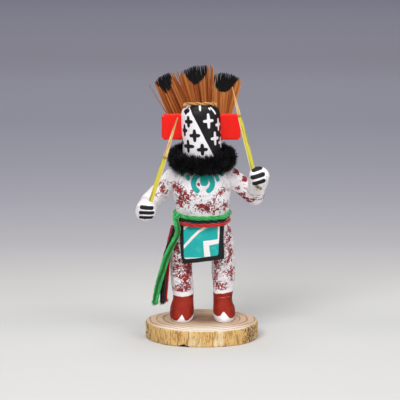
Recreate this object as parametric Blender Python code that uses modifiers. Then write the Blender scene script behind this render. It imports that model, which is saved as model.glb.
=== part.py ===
"""A carved and painted kachina doll that stands on a slice of branch.

Metres, +Z up. The doll faces -Y, and left and right are those of someone looking at its front.
The origin is the middle of the slice's underside.
"""

import math

import bmesh
import bpy
import numpy as np
from mathutils import Matrix, Vector

MM = 0.001

# Room between pieces that touch
GAP = 0.3 * MM
YARN_GAP = 0.12 * MM

# Slice of branch
BASE_WIDTH = 48.0 * MM
BASE_DEPTH = 44.0 * MM
BASE_THICKNESS = 6.8 * MM
BASE_EDGE = 0.35 * MM
BASE_WAVES = ((2, 0.004, 0.7), (3, 0.010, 2.1), (5, 0.006, 4.4), (9, 0.003, 1.3))
BASE_SIDES = 60

# The figure is laid out in 93 parts from its soles to its crown
FIGURE_HEIGHT = 93.0 * MM
PARTS_TALL = 93
PART = FIGURE_HEIGHT / PARTS_TALL
FIGURE_Y = 5.0 * MM
SOLE_Z = BASE_THICKNESS + GAP

# Level sections of the carving, in parts: height, centre, half width, front depth, back depth
TRUNK_SECTIONS = (
    (30.0, 0.1, 12.9, 7.0, 7.4),
    (31.8, 0.15, 13.75, 8.5, 8.8),
    (34.7, 0.0, 13.5, 9.0, 9.0),
    (37.8, -0.3, 12.8, 9.0, 8.8),
    (41.7, -0.2, 11.7, 8.6, 8.4),
    (44.7, 0.1, 11.4, 8.2, 8.2),
    (47.4, 0.2, 11.3, 8.0, 8.2),
    (51.3, 0.15, 11.8, 8.4, 8.6),
    (55.6, -0.2, 12.6, 8.9, 9.1),
    (58.2, -0.2, 12.8, 9.0, 9.2),
    (60.8, 0.0, 12.2, 8.6, 9.0),
    (62.8, 0.0, 10.9, 7.9, 8.5),
    (64.2, 0.1, 9.0, 7.2, 7.6),
)
LEFT_LEG_SECTIONS = (
    (0.0, -8.7, 4.7, 10.7, 5.2),
    (1.5, -8.75, 5.25, 11.0, 5.7),
    (3.2, -8.7, 5.15, 9.9, 5.6),
    (4.7, -8.6, 5.05, 8.2, 5.3),
    (6.0, -8.4, 4.8, 6.6, 5.1),
    (7.6, -8.15, 4.5, 5.3, 4.9),
    (9.2, -8.1, 4.45, 4.8, 4.8),
    (12.5, -8.3, 4.7, 4.8, 5.1),
    (18.5, -8.9, 4.7, 5.1, 5.7),
    (24.0, -9.0, 4.7, 5.4, 5.6),
    (29.0, -8.8, 4.9, 6.2, 6.2),
    (35.0, -7.8, 5.3, 6.8, 7.0),
)
RIGHT_LEG_SECTIONS = (
    (0.0, 9.45, 4.3, 10.7, 5.2),
    (1.5, 9.55, 4.75, 11.0, 5.6),
    (3.2, 9.5, 4.7, 9.9, 5.5),
    (4.7, 9.4, 4.6, 8.2, 5.2),
    (6.0, 9.05, 4.25, 6.5, 5.0),
    (8.4, 8.85, 4.0, 5.0, 4.8),
    (11.9, 9.05, 4.3, 4.8, 5.0),
    (14.5, 9.2, 4.55, 4.9, 5.3),
    (18.5, 9.2, 4.95, 5.2, 5.7),
    (24.0, 9.1, 5.0, 5.4, 5.6),
    (29.0, 8.9, 5.0, 6.2, 6.2),
    (35.0, 7.9, 5.4, 6.8, 7.0),
)
TRUNK_SIDES = 28
LEG_SIDES = 16
ROUNDNESS = 2.3

# Head, in parts: a cylinder with a flattened dome, turned about an axis that leans
HEAD_SUNK = 6.2
HEAD_FOOT = TRUNK_SECTIONS[-1][0] - HEAD_SUNK
HEAD_RADIUS = 8.4
HEAD_DOME_SHOULDER = 86.5
HEAD_DOME_ROUND = 3.2
HEAD_LEAN = math.radians(-3.0)
HEAD_PIVOT = 75.0
HEAD_SIDES = 26
DOME_STEPS = 8

# Ears: flat tabs on the sides of the head
EAR_WIDTH = 8.1 * MM
EAR_HEIGHT = 11.0 * MM
EAR_THICKNESS = 3.0 * MM
EAR_ROUND = 0.8 * MM
EAR_MIDDLE = 82.9
EAR_SEAT = 1.2 * MM

# Fur ruff round the neck
RUFF_HALF_WIDTH = 3.6 * MM
RUFF_HALF_HEIGHT = 4.1 * MM
RUFF_SUNK = 0.6 * MM
RUFF_MIDDLE = 69.5
RUFF_TILT = math.radians(10.0)
RUFF_AROUND = 30
RUFF_SIDES = 10

# Arms, in parts from the figure's axis: shoulder, elbow and the end of the fist
LEFT_SHOULDER = (-12.6, 0.3, 60.9)
LEFT_ELBOW = (-22.4, 0.0, 50.3)
LEFT_FIST_END = (-24.3, -16.2, 48.5)
RIGHT_SHOULDER = (12.2, 0.3, 61.4)
RIGHT_ELBOW = (22.4, 0.0, 53.4)
RIGHT_FIST_END = (24.5, -11.5, 65.3)
UPPER_ARM_RADIUS = 4.05
ELBOW_RADIUS = 4.2
WRIST_RADIUS = 3.85
FIST_RADIUS = 4.3
WRIST_SHARE = 0.42
ARM_SIDES = 14
ARM_CAP_STEPS = 3
FIST_END_DEPTH = 2.6

# Yucca leaves held in the fists
BLADE_WIDTH = 2.2 * MM
BLADE_THICKNESS = 0.8 * MM
BLADE_TIP_WIDTH = 0.5 * MM
BLADE_TAPER_FROM = 0.62
BLADE_CLEARANCE = 0.3 * MM
LEFT_BLADE_LENGTH = 42.5 * MM
RIGHT_BLADE_LENGTH = 44.8 * MM
LEFT_GRIP = (-22.9, -12.9, 49.2)
RIGHT_GRIP = (22.5, -9.4, 60.8)
LEFT_BLADE_ABOVE = 41.0 * MM
RIGHT_BLADE_ABOVE = 41.0 * MM
LEFT_BLADE_LEAN = (0.328, 0.075, 1.0)
RIGHT_BLADE_LEAN = (-0.245, 0.055, 1.0)
BLADE_STATIONS = 9

# Feathers behind the head: foot and tip in parts, half width, layer from the head outwards,
# and the share of its length at which a feather is at its full width
FEATHER_THICKNESS = 0.7 * MM
FEATHER_QUILL = 0.5 * MM
FEATHER_ROUND = 1.6 * MM
FEATHER_SWELL = 0.55
FEATHER_LEAN = 0.055
FEATHERS = {
    "feather_left": ((-6.2, 79.5), (-17.0, 104.2), 4.8 * MM, 1, 0.28),
    "feather_middle": ((1.2, 79.0), (-3.2, 108.2), 7.7 * MM, 0, 0.90),
    "feather_right": ((8.2, 79.5), (11.0, 104.9), 6.3 * MM, 1, 0.85),
}
FEATHER_EDGE_STEPS = 7

# Cord that binds the quills to the head
BAND_RADIUS = 0.62 * MM
BAND_TILT = math.radians(51.0)
BAND_FRONT = -0.6
BAND_STEPS = 44

# Middle height of the sash, in parts
SASH_MIDDLE = 44.2

# Painted leather flap, in parts: its top stands a little above the middle of the sash
APRON_WIDTH = 18.6 * MM
APRON_THICKNESS = 0.8 * MM
APRON_PROUD = 1.4
APRON_TOP = SASH_MIDDLE + APRON_PROUD
APRON_LEFT_FOOT = 25.3
APRON_RIGHT_FOOT = 27.2
APRON_CURVE = 1.7 * MM
APRON_ROUND = 1.4 * MM
APRON_COLUMNS = 10
APRON_ROWS = 5

# Yarn sash: each turn's radius, its sag in front and its rise towards the knot
SASH_GREEN_RADIUS = 1.0 * MM
SASH_BLACK_RADIUS = 0.55 * MM
SASH_RED_RADIUS = 0.82 * MM
SASH_DROP = 0.6
SASH_RISE = 0.7
SASH_STEPS = 48
KNOT_RADIUS = 1.4 * MM
KNOT_PLACE = (-10.6, -8.4)
KNOT_PROUD = (-0.40, -0.35, 0.30)

# Loose ends of the sash, in parts from the figure's axis, down from the knot
TAIL_GREEN_RADIUS = 1.0 * MM
TAIL_BLACK_RADIUS = 0.85 * MM
TAIL_RED_RADIUS = 0.8 * MM
TAIL_GREEN_ROUTE = (
    (-11.3, -11.2, 44.6),
    (-10.6, -11.5, 42.2),
    (-10.3, -10.4, 39.6),
    (-10.9, -9.0, 37.2),
    (-12.1, -8.2, 34.6),
    (-13.6, -7.6, 31.4),
    (-15.0, -7.1, 28.1),
    (-17.1, -6.7, 21.1),
    (-19.5, -6.4, 13.8),
    (-20.8, -6.4, 7.7),
)
TAIL_BLACK_ROUTE = (
    (-11.6, -7.0, 41.0),
    (-12.2, -6.6, 38.2),
    (-13.1, -6.0, 35.2),
    (-14.2, -5.4, 32.2),
    (-15.5, -4.8, 27.8),
    (-16.3, -4.2, 23.3),
    (-16.8, -4.0, 17.1),
    (-17.0, -4.0, 11.9),
    (-17.0, -4.1, 7.5),
)
TAIL_RED_ROUTE = (
    (-12.6, -4.8, 41.0),
    (-13.2, -4.5, 38.2),
    (-14.0, -3.9, 34.8),
    (-14.6, -3.0, 30.0),
    (-14.7, -2.5, 24.7),
    (-15.1, -2.2, 19.0),
    (-15.5, -2.2, 13.2),
    (-15.9, -2.3, 8.0),
)
TAIL_STEPS = 16


def linear(hex_colour):
    """The linear red, green, blue and alpha of an sRGB hex colour."""
    channels = [int(hex_colour[i : i + 2], 16) / 255 for i in (1, 3, 5)]
    return [c / 12.92 if c <= 0.04045 else ((c + 0.055) / 1.055) ** 2.4 for c in channels] + [1]


def make_material(name, hex_colour, roughness):
    """A plain non-metallic Principled material."""
    material = bpy.data.materials.new(name)
    material.use_nodes = True
    shader = material.node_tree.nodes["Principled BSDF"]
    shader.inputs["Base Color"].default_value = linear(hex_colour)
    shader.inputs["Roughness"].default_value = roughness
    shader.inputs["Metallic"].default_value = 0
    return material


def clear_scene():
    """Removes every object, so that the script can be run again."""
    for thing in list(bpy.data.objects):
        bpy.data.objects.remove(thing)


def make_collection(name):
    """A new collection under the scene's own."""
    collection = bpy.data.collections.new(name)
    bpy.context.scene.collection.children.link(collection)
    return collection


clear_scene()
DOLL = make_collection("kachina_doll")
CUTTERS = make_collection("cutters")

GESSO = make_material("painted_cottonwood", "#ECE6E1", 0.6)
SLICE_WOOD = make_material("branch_wood", "#D2B08A", 0.7)
RED_PAINT = make_material("red_painted_wood", "#EE2B22", 0.5)
FUR = make_material("black_fur", "#0B0A0C", 0.9)
FEATHER_VANE = make_material("brown_feather", "#8E4A22", 0.6)
BLADE_GREEN = make_material("yucca_leaf", "#CFC53C", 0.45)
BAND_TAN = make_material("tan_cord", "#C78B3F", 0.6)
APRON_TEAL = make_material("painted_leather", "#27B5AE", 0.55)
GREEN_YARN = make_material("green_yarn", "#2E9E48", 0.85)
BLACK_YARN = make_material("black_yarn", "#0E0C0E", 0.85)
RED_YARN = make_material("red_yarn", "#C81D1C", 0.85)


def at(parts):
    """A place given in parts from the figure's axis and soles, as metres from the origin."""
    x, y, z = parts
    return Vector((x * PART, FIGURE_Y + y * PART, SOLE_Z + z * PART))


def keep(thing, material, collection=DOLL):
    """Puts an object in a collection with its material, or hides it there as a cutter."""
    for holder in list(thing.users_collection):
        holder.objects.unlink(thing)
    collection.objects.link(thing)
    thing.data.materials.clear()
    if material:
        thing.data.materials.append(material)
    if collection == CUTTERS:
        thing.hide_render = True
        thing.display_type = "WIRE"
    return thing


def object_of(name, vertices, faces, material, collection=DOLL):
    """A mesh object from points and faces, with its normals made to point outwards."""
    mesh = bpy.data.meshes.new(name)
    mesh.from_pydata([tuple(map(float, v)) for v in vertices], [], faces)
    form = bmesh.new()
    form.from_mesh(mesh)
    bmesh.ops.recalc_face_normals(form, faces=form.faces)
    form.to_mesh(mesh)
    form.free()
    mesh.shade_smooth()
    thing = bpy.data.objects.new(name, mesh)
    collection.objects.link(thing)
    return keep(thing, material, collection)


def loft(name, rings, material, collection=DOLL):
    """A closed skin over rings of equally many points, capped at both ends."""
    rings = np.asarray(rings)
    count, sides = rings.shape[:2]
    faces = [tuple(range(sides))[::-1], tuple((count - 1) * sides + i for i in range(sides))]
    for row in range(count - 1):
        for i in range(sides):
            j = (i + 1) % sides
            faces.append(
                (row * sides + i, row * sides + j, (row + 1) * sides + j, (row + 1) * sides + i)
            )
    return object_of(name, rings.reshape(-1, 3), faces, material, collection)


def section_ring(section, sides, grow=0.0):
    """A level outline in metres: a superellipse whose front and back depths differ."""
    height, centre, half_width, front, back = (value * PART for value in section)
    angle = np.arange(sides) * 2 * math.pi / sides
    across = np.sign(np.cos(angle)) * np.abs(np.cos(angle)) ** (2 / ROUNDNESS)
    along = np.sign(np.sin(angle)) * np.abs(np.sin(angle)) ** (2 / ROUNDNESS)
    depth = np.where(along < 0, front, back) + grow
    x = centre + (half_width + grow) * across
    y = FIGURE_Y + depth * along
    return np.stack([x, y, np.full(sides, SOLE_Z + height)], axis=1)


def section_at(sections, height):
    """The section at any height, read between the listed ones."""
    table = np.array(sections)
    return [height] + [np.interp(height, table[:, 0], table[:, i]) for i in range(1, 5)]


def carved(name, sections, sides, material=GESSO, collection=DOLL, grow=0.0):
    """A loft through level sections, grown outwards on all sides where it is to be a cutter."""
    rings = [section_ring(section, sides, grow) for section in sections]
    rings[0][:, 2] -= grow
    rings[-1][:, 2] += grow
    return loft(name, rings, material, collection)


def turned(name, profile, sides, matrix, material=GESSO, collection=DOLL):
    """A profile of (radius, height) from its top down, turned about its own Z by a Screw."""
    mesh = bpy.data.meshes.new(name)
    points = [(radius, 0.0, height) for radius, height in profile]
    mesh.from_pydata(points, [(i, i + 1) for i in range(len(points) - 1)], [])
    thing = bpy.data.objects.new(name, mesh)
    collection.objects.link(thing)
    keep(thing, material, collection)
    screw = thing.modifiers.new("turn", "SCREW")
    screw.steps = sides
    screw.render_steps = sides
    screw.use_merge_vertices = True
    screw.merge_threshold = 1e-5
    screw.use_smooth_shade = True
    thing.matrix_world = matrix
    return thing


def boolean(thing, other, operation):
    """Joins another mesh to this one, or cuts it away."""
    modifier = thing.modifiers.new(other.name, "BOOLEAN")
    modifier.object = other
    modifier.operation = operation
    modifier.solver = "EXACT"


def tube(name, points, radius, material, cyclic=False, collection=DOLL):
    """A round cord along a path, closed by caps or joined end to end."""
    curve = bpy.data.curves.new(name, "CURVE")
    curve.dimensions = "3D"
    curve.bevel_depth = radius
    curve.bevel_resolution = 2
    curve.use_fill_caps = not cyclic
    spline = curve.splines.new("POLY")
    spline.points.add(len(points) - 1)
    for knot, point in zip(spline.points, points):
        knot.co = (*map(float, point), 1)
    spline.use_cyclic_u = cyclic
    thing = bpy.data.objects.new(name, curve)
    collection.objects.link(thing)
    return keep(thing, material, collection)


def meshed(curve_object, material, collection=DOLL):
    """The same form as a mesh with its caps welded, which a Boolean needs."""
    bpy.context.view_layer.update()
    graph = bpy.context.evaluated_depsgraph_get()
    mesh = bpy.data.meshes.new_from_object(curve_object.evaluated_get(graph))
    form = bmesh.new()
    form.from_mesh(mesh)
    bmesh.ops.remove_doubles(form, verts=form.verts, dist=1e-6)
    bmesh.ops.recalc_face_normals(form, faces=form.faces)
    form.to_mesh(mesh)
    form.free()
    name = curve_object.name
    matrix = curve_object.matrix_world.copy()
    bpy.data.objects.remove(curve_object)
    thing = bpy.data.objects.new(name, mesh)
    thing.matrix_world = matrix
    collection.objects.link(thing)
    return keep(thing, material, collection)


def smooth_path(points, count):
    """Evenly spaced points on the Catmull-Rom curve through a route's own points."""
    route = np.array(points)
    padded = np.vstack([2 * route[0] - route[1], route, 2 * route[-1] - route[-2]])
    share = np.linspace(0, 1, 12, endpoint=False)[:, None]
    runs = []
    for a, b, c, d in zip(padded, padded[1:], padded[2:], padded[3:]):
        runs.append(
            0.5 * (2 * b + (c - a) * share + (2 * a - 5 * b + 4 * c - d) * share**2)
            + 0.5 * (3 * b - a - 3 * c + d) * share**3
        )
    return evenly(np.vstack(runs + [route[-1:]]), count)


def evenly(points, count):
    """The same polyline with its points at equal distances."""
    reach = np.concatenate([[0], np.cumsum(np.linalg.norm(np.diff(points, axis=0), axis=1))])
    marks = np.linspace(0, reach[-1], count)
    return np.stack([np.interp(marks, reach, points[:, i]) for i in range(3)], axis=1)


def taut_loop(obstacles, offset, count):
    """The closed line that a cord pulled tight round flat obstacles takes, offset from them.

    In each direction it passes the obstacle that reaches furthest.
    """
    angle = np.arange(4 * count) * math.pi / (2 * count)
    normal = np.stack([np.cos(angle), np.sin(angle)], axis=1)
    furthest = np.argmax(obstacles @ normal.T, axis=0)
    line = obstacles[furthest] + offset * normal
    closed = np.column_stack([np.vstack([line, line[:1]]), np.zeros(len(line) + 1)])
    return evenly(closed, count + 1)[:-1, :2]


def place_flat(thing, matrix):
    """Gives an object its place in the scene."""
    thing.matrix_world = matrix
    return thing


def make_base():
    """The slice: a wavy oval outline, extruded, with a small round on both rims."""
    curve = bpy.data.curves.new("base", "CURVE")
    curve.dimensions = "2D"
    curve.fill_mode = "BOTH"
    curve.extrude = BASE_THICKNESS / 2 - BASE_EDGE
    curve.bevel_depth = BASE_EDGE
    curve.bevel_resolution = 1
    curve.offset = -BASE_EDGE
    spline = curve.splines.new("POLY")
    spline.points.add(BASE_SIDES - 1)
    for i, point in enumerate(spline.points):
        angle = 2 * math.pi * i / BASE_SIDES
        wave = 1 + sum(size * math.cos(turns * angle + shift) for turns, size, shift in BASE_WAVES)
        x = BASE_WIDTH / 2 * wave * math.cos(angle)
        y = BASE_DEPTH / 2 * wave * math.sin(angle)
        point.co = (x, y, 0, 1)
    spline.use_cyclic_u = True
    thing = bpy.data.objects.new("base", curve)
    DOLL.objects.link(thing)
    keep(thing, SLICE_WOOD)
    return place_flat(thing, Matrix.Translation((0, 0, BASE_THICKNESS / 2)))


def head_profile(grow=0.0):
    """The head's (radius, height) in metres from its crown down, above the figure's soles."""
    radius = HEAD_RADIUS * PART + grow
    crown = PARTS_TALL * PART + grow
    shoulder = HEAD_DOME_SHOULDER * PART
    points = []
    for i in range(DOME_STEPS + 1):
        angle = math.pi / 2 * (1 - i / DOME_STEPS)
        across = math.cos(angle) ** (2 / HEAD_DOME_ROUND)
        up = math.sin(angle) ** (2 / HEAD_DOME_ROUND)
        points.append((radius * across, shoulder + (crown - shoulder) * up))
    points[0] = (0.0, crown)
    foot = HEAD_FOOT * PART - grow
    return points + [(radius, foot), (0.0, foot)]


def head_matrix():
    """Where the head's axis stands: it leans sideways about a point in the ruff."""
    pivot = Vector((0, 0, HEAD_PIVOT * PART))
    lean = Matrix.Translation(pivot) @ Matrix.Rotation(HEAD_LEAN, 4, "Y") @ Matrix.Translation(-pivot)
    return Matrix.Translation((0, FIGURE_Y, SOLE_Z)) @ lean


def make_figure():
    """Trunk, legs with their boots, and head, joined as the one carving they are."""
    figure = carved("figure", TRUNK_SECTIONS, TRUNK_SIDES)
    left = carved("left_leg_form", LEFT_LEG_SECTIONS, LEG_SIDES, collection=CUTTERS)
    right = carved("right_leg_form", RIGHT_LEG_SECTIONS, LEG_SIDES, collection=CUTTERS)
    head = turned(
        "head_form", head_profile(), HEAD_SIDES, head_matrix(), collection=CUTTERS
    )
    for form in (left, right, head):
        boolean(figure, form, "UNION")
    return figure


def make_seats():
    """The trunk and the head grown by the gap, which cut what sits on them."""
    trunk = carved(
        "trunk_seat", TRUNK_SECTIONS, TRUNK_SIDES, None, CUTTERS, grow=GAP
    )
    head = turned("head_seat", head_profile(GAP), HEAD_SIDES, head_matrix(), None, CUTTERS)
    return trunk, head


def make_ears(head_seat):
    """Two rounded tabs, each seated on the side of the head."""
    head_middle = at((0, 0, EAR_MIDDLE))
    sway = math.tan(HEAD_LEAN) * (EAR_MIDDLE - HEAD_PIVOT) * PART
    for name, side in (("ear_left", -1), ("ear_right", 1)):
        bpy.ops.mesh.primitive_cube_add(size=1)
        ear = bpy.context.object
        ear.name = name
        ear.data.name = name
        length = EAR_WIDTH + EAR_SEAT
        inner = HEAD_RADIUS * PART + GAP - EAR_SEAT
        for vertex in ear.data.vertices:
            vertex.co.x *= length
            vertex.co.y *= EAR_THICKNESS
            vertex.co.z *= EAR_HEIGHT
        keep(ear, RED_PAINT)
        ear.location = head_middle + Vector((sway + side * (inner + length / 2), 0, 0))
        rim = ear.modifiers.new("rim", "BEVEL")
        rim.width = EAR_ROUND
        rim.segments = 3
        rim.limit_method = "ANGLE"
        boolean(ear, head_seat, "DIFFERENCE")


def limb_profile(stations, near_cap, far_cap, grow):
    """(radius, reach) along a limb, far end first, with elliptical caps at both ends."""
    near_reach, near_radius = stations[0]
    far_reach, far_radius = stations[-1]
    points = []
    for i in range(ARM_CAP_STEPS):
        angle = math.pi / 2 * (1 - i / ARM_CAP_STEPS)
        points.append((far_radius * math.cos(angle), far_reach + far_cap * math.sin(angle)))
    points += [(radius, reach) for reach, radius in reversed(stations)]
    for i in range(1, ARM_CAP_STEPS + 1):
        angle = math.pi / 2 * i / ARM_CAP_STEPS
        points.append((near_radius * math.cos(angle), near_reach - near_cap * math.sin(angle)))
    scaled = [(radius * PART, reach * PART) for radius, reach in points]
    scaled = [(radius + grow if radius > 1e-6 else 0.0, reach) for radius, reach in scaled]
    scaled[0] = (0.0, scaled[0][1] + grow)
    scaled[-1] = (0.0, scaled[-1][1] - grow)
    return scaled


def limb_matrix(start, end):
    """Stands a turned limb at one place, pointing at another."""
    way = at(end) - at(start)
    return Matrix.Translation(at(start)) @ way.to_track_quat("Z", "Y").to_matrix().to_4x4()


def distance(start, end):
    """The distance between two places, in parts."""
    return (Vector(end) - Vector(start)).length


def make_arm_forms(side, shoulder, elbow, fist_end, material, collection, grow=0.0, suffix=""):
    """The upper arm and the forearm with its fist, as two turned forms."""
    upper_length = distance(shoulder, elbow)
    upper = turned(
        f"arm_{side}{suffix}",
        limb_profile(
            ((0.0, UPPER_ARM_RADIUS), (upper_length, ELBOW_RADIUS)),
            UPPER_ARM_RADIUS,
            ELBOW_RADIUS,
            grow,
        ),
        ARM_SIDES,
        limb_matrix(shoulder, elbow),
        material,
        collection,
    )
    fore_length = distance(elbow, fist_end) - FIST_END_DEPTH
    wrist = WRIST_SHARE * fore_length
    forearm = turned(
        f"forearm_{side}{suffix}",
        limb_profile(
            (
                (0.0, ELBOW_RADIUS),
                (wrist, WRIST_RADIUS),
                (fore_length - FIST_RADIUS, FIST_RADIUS),
                (fore_length, FIST_RADIUS * 0.97),
            ),
            ELBOW_RADIUS,
            FIST_END_DEPTH,
            grow,
        ),
        ARM_SIDES,
        limb_matrix(elbow, fist_end),
        material,
        CUTTERS,
    )
    return upper, forearm


def blade_matrix(grip, lean):
    """The frame of a leaf: its origin in the fist, its Z along the leaf, its width level."""
    up = Vector(lean).normalized()
    across = Vector((1, 0, 0)) - up * up.x
    across.normalize()
    thick = up.cross(across)
    turn = Matrix((across, thick, up)).transposed().to_4x4()
    return Matrix.Translation(at(grip)) @ turn


def blade_ring(width, thickness, reach):
    """A keeled section: flat towards its edges and ridged in the middle, back and front."""
    half = width / 2
    return (
        (half, 0, reach),
        (half * 0.45, thickness * 0.34, reach),
        (0, thickness * 0.5, reach),
        (-half * 0.45, thickness * 0.34, reach),
        (-half, 0, reach),
        (-half * 0.45, -thickness * 0.34, reach),
        (0, -thickness * 0.5, reach),
        (half * 0.45, -thickness * 0.34, reach),
    )


def make_blade(side, grip, lean, length, above):
    """A leaf that keeps its width up to its taper, then narrows to its tip."""
    rings = []
    for i in range(BLADE_STATIONS):
        share = i / (BLADE_STATIONS - 1)
        taper = max(0.0, (share - BLADE_TAPER_FROM) / (1 - BLADE_TAPER_FROM))
        width = BLADE_WIDTH + (BLADE_TIP_WIDTH - BLADE_WIDTH) * taper**1.4
        thickness = BLADE_THICKNESS * (1 - 0.4 * taper)
        rings.append(blade_ring(width, thickness, above - length * (1 - share)))
    blade = loft(f"yucca_blade_{side}", rings, BLADE_GREEN)
    return place_flat(blade, blade_matrix(grip, lean))


def make_slot(side, grip, lean, depth_below, depth_above):
    """The hole in a fist that a leaf passes into, with its clearance on every side."""
    bpy.ops.mesh.primitive_cube_add(size=1)
    slot = bpy.context.object
    slot.name = f"slot_{side}"
    for vertex in slot.data.vertices:
        vertex.co.x *= BLADE_WIDTH + 2 * BLADE_CLEARANCE
        vertex.co.y *= BLADE_THICKNESS + 2 * BLADE_CLEARANCE
        vertex.co.z = depth_above if vertex.co.z > 0 else -depth_below
    keep(slot, None, CUTTERS)
    return place_flat(slot, blade_matrix(grip, lean))


def make_arms(trunk_seat):
    """Both arms, seated on the shoulders, each with the slot for its leaf."""
    through = 4 * FIST_RADIUS * PART
    plans = (
        ("left", LEFT_SHOULDER, LEFT_ELBOW, LEFT_FIST_END, LEFT_GRIP, LEFT_BLADE_LEAN,
         LEFT_BLADE_LENGTH, LEFT_BLADE_ABOVE, None),
        ("right", RIGHT_SHOULDER, RIGHT_ELBOW, RIGHT_FIST_END, RIGHT_GRIP, RIGHT_BLADE_LEAN,
         RIGHT_BLADE_LENGTH, RIGHT_BLADE_ABOVE, through),
    )
    for side, shoulder, elbow, fist_end, grip, lean, length, above, below in plans:
        arm, forearm = make_arm_forms(side, shoulder, elbow, fist_end, GESSO, DOLL)
        boolean(arm, forearm, "UNION")
        boolean(arm, trunk_seat, "DIFFERENCE")
        if below is None:
            below = length - above + BLADE_CLEARANCE
        boolean(arm, make_slot(side, grip, lean, below, through), "DIFFERENCE")
        make_blade(side, grip, lean, length, above)


def make_ruff(trunk_seat, head_seat):
    """A fur ring: a torus made taller than it is thick, tipped forward and seated on the neck."""
    inner = HEAD_RADIUS * PART - RUFF_SUNK
    bpy.ops.mesh.primitive_torus_add(
        major_segments=RUFF_AROUND,
        minor_segments=RUFF_SIDES,
        major_radius=inner + RUFF_HALF_WIDTH,
        minor_radius=RUFF_HALF_WIDTH,
    )
    ruff = bpy.context.object
    ruff.name = "neck_ruff"
    ruff.data.name = "neck_ruff"
    ruff.data.transform(Matrix.Scale(RUFF_HALF_HEIGHT / RUFF_HALF_WIDTH, 4, (0, 0, 1)))
    ruff.data.transform(Matrix.Rotation(RUFF_TILT, 4, "X"))
    ruff.data.shade_smooth()
    keep(ruff, FUR)
    ruff.location = at((0, 0, RUFF_MIDDLE))
    boolean(ruff, head_seat, "DIFFERENCE")
    boolean(ruff, trunk_seat, "DIFFERENCE")
    for side, shoulder, elbow, fist_end in (
        ("left", LEFT_SHOULDER, LEFT_ELBOW, LEFT_FIST_END),
        ("right", RIGHT_SHOULDER, RIGHT_ELBOW, RIGHT_FIST_END),
    ):
        upper, _ = make_arm_forms(side, shoulder, elbow, fist_end, None, CUTTERS, GAP, "_seat")
        boolean(ruff, upper, "DIFFERENCE")


def feather_half(half_width, full_at, share):
    """Half a feather's breadth at a share of its length: it swells from quill to full vane."""
    swell = min(1.0, share / full_at) ** FEATHER_SWELL
    return FEATHER_QUILL + (half_width - FEATHER_QUILL) * swell


def feather_outline(length, half_width, full_at):
    """A strip with a round-cornered tip that narrows to its quill below: one side, foot up."""
    side = []
    for i in range(FEATHER_EDGE_STEPS + 1):
        share = full_at * i / FEATHER_EDGE_STEPS
        side.append((feather_half(half_width, full_at, share), length * share))
    for i in range(1, 4):
        angle = math.pi / 2 * i / 3
        side.append(
            (
                half_width - FEATHER_ROUND * (1 - math.cos(angle)),
                length - FEATHER_ROUND * (1.6 - math.sin(angle)),
            )
        )
    return side + [(half_width * 0.35, length)]


def layer_y(layer):
    """How far behind the figure's axis the middle of a layer of feathers stands at its foot."""
    return HEAD_RADIUS * PART + GAP + FEATHER_THICKNESS / 2 + layer * (FEATHER_THICKNESS + GAP)


def make_feathers():
    """Each feather is a flat outline that stands behind the head and leans a little back."""
    for name, (foot, tip, half_width, layer, full_at) in FEATHERS.items():
        run = Vector((tip[0] - foot[0], 0, tip[1] - foot[1])) * PART
        side = feather_outline(run.length, half_width, full_at)
        outline = side + [(-x, z) for x, z in reversed(side)]
        curve = bpy.data.curves.new(name, "CURVE")
        curve.dimensions = "2D"
        curve.fill_mode = "BOTH"
        curve.extrude = FEATHER_THICKNESS / 2
        spline = curve.splines.new("POLY")
        spline.points.add(len(outline) - 1)
        for point, (x, z) in zip(spline.points, outline):
            point.co = (x, z, 0, 1)
        spline.use_cyclic_u = True
        feather = bpy.data.objects.new(name, curve)
        DOLL.objects.link(feather)
        keep(feather, FEATHER_VANE)
        up = (run.normalized() + Vector((0, FEATHER_LEAN, 0))).normalized()
        across = Vector((up.z, 0, -up.x)).normalized()
        turn = Matrix((across, up, across.cross(up))).transposed().to_4x4()
        stand = at((foot[0], 0, foot[1])) + Vector((0, layer_y(layer), 0))
        place_flat(feather, Matrix.Translation(stand) @ turn)


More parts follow.
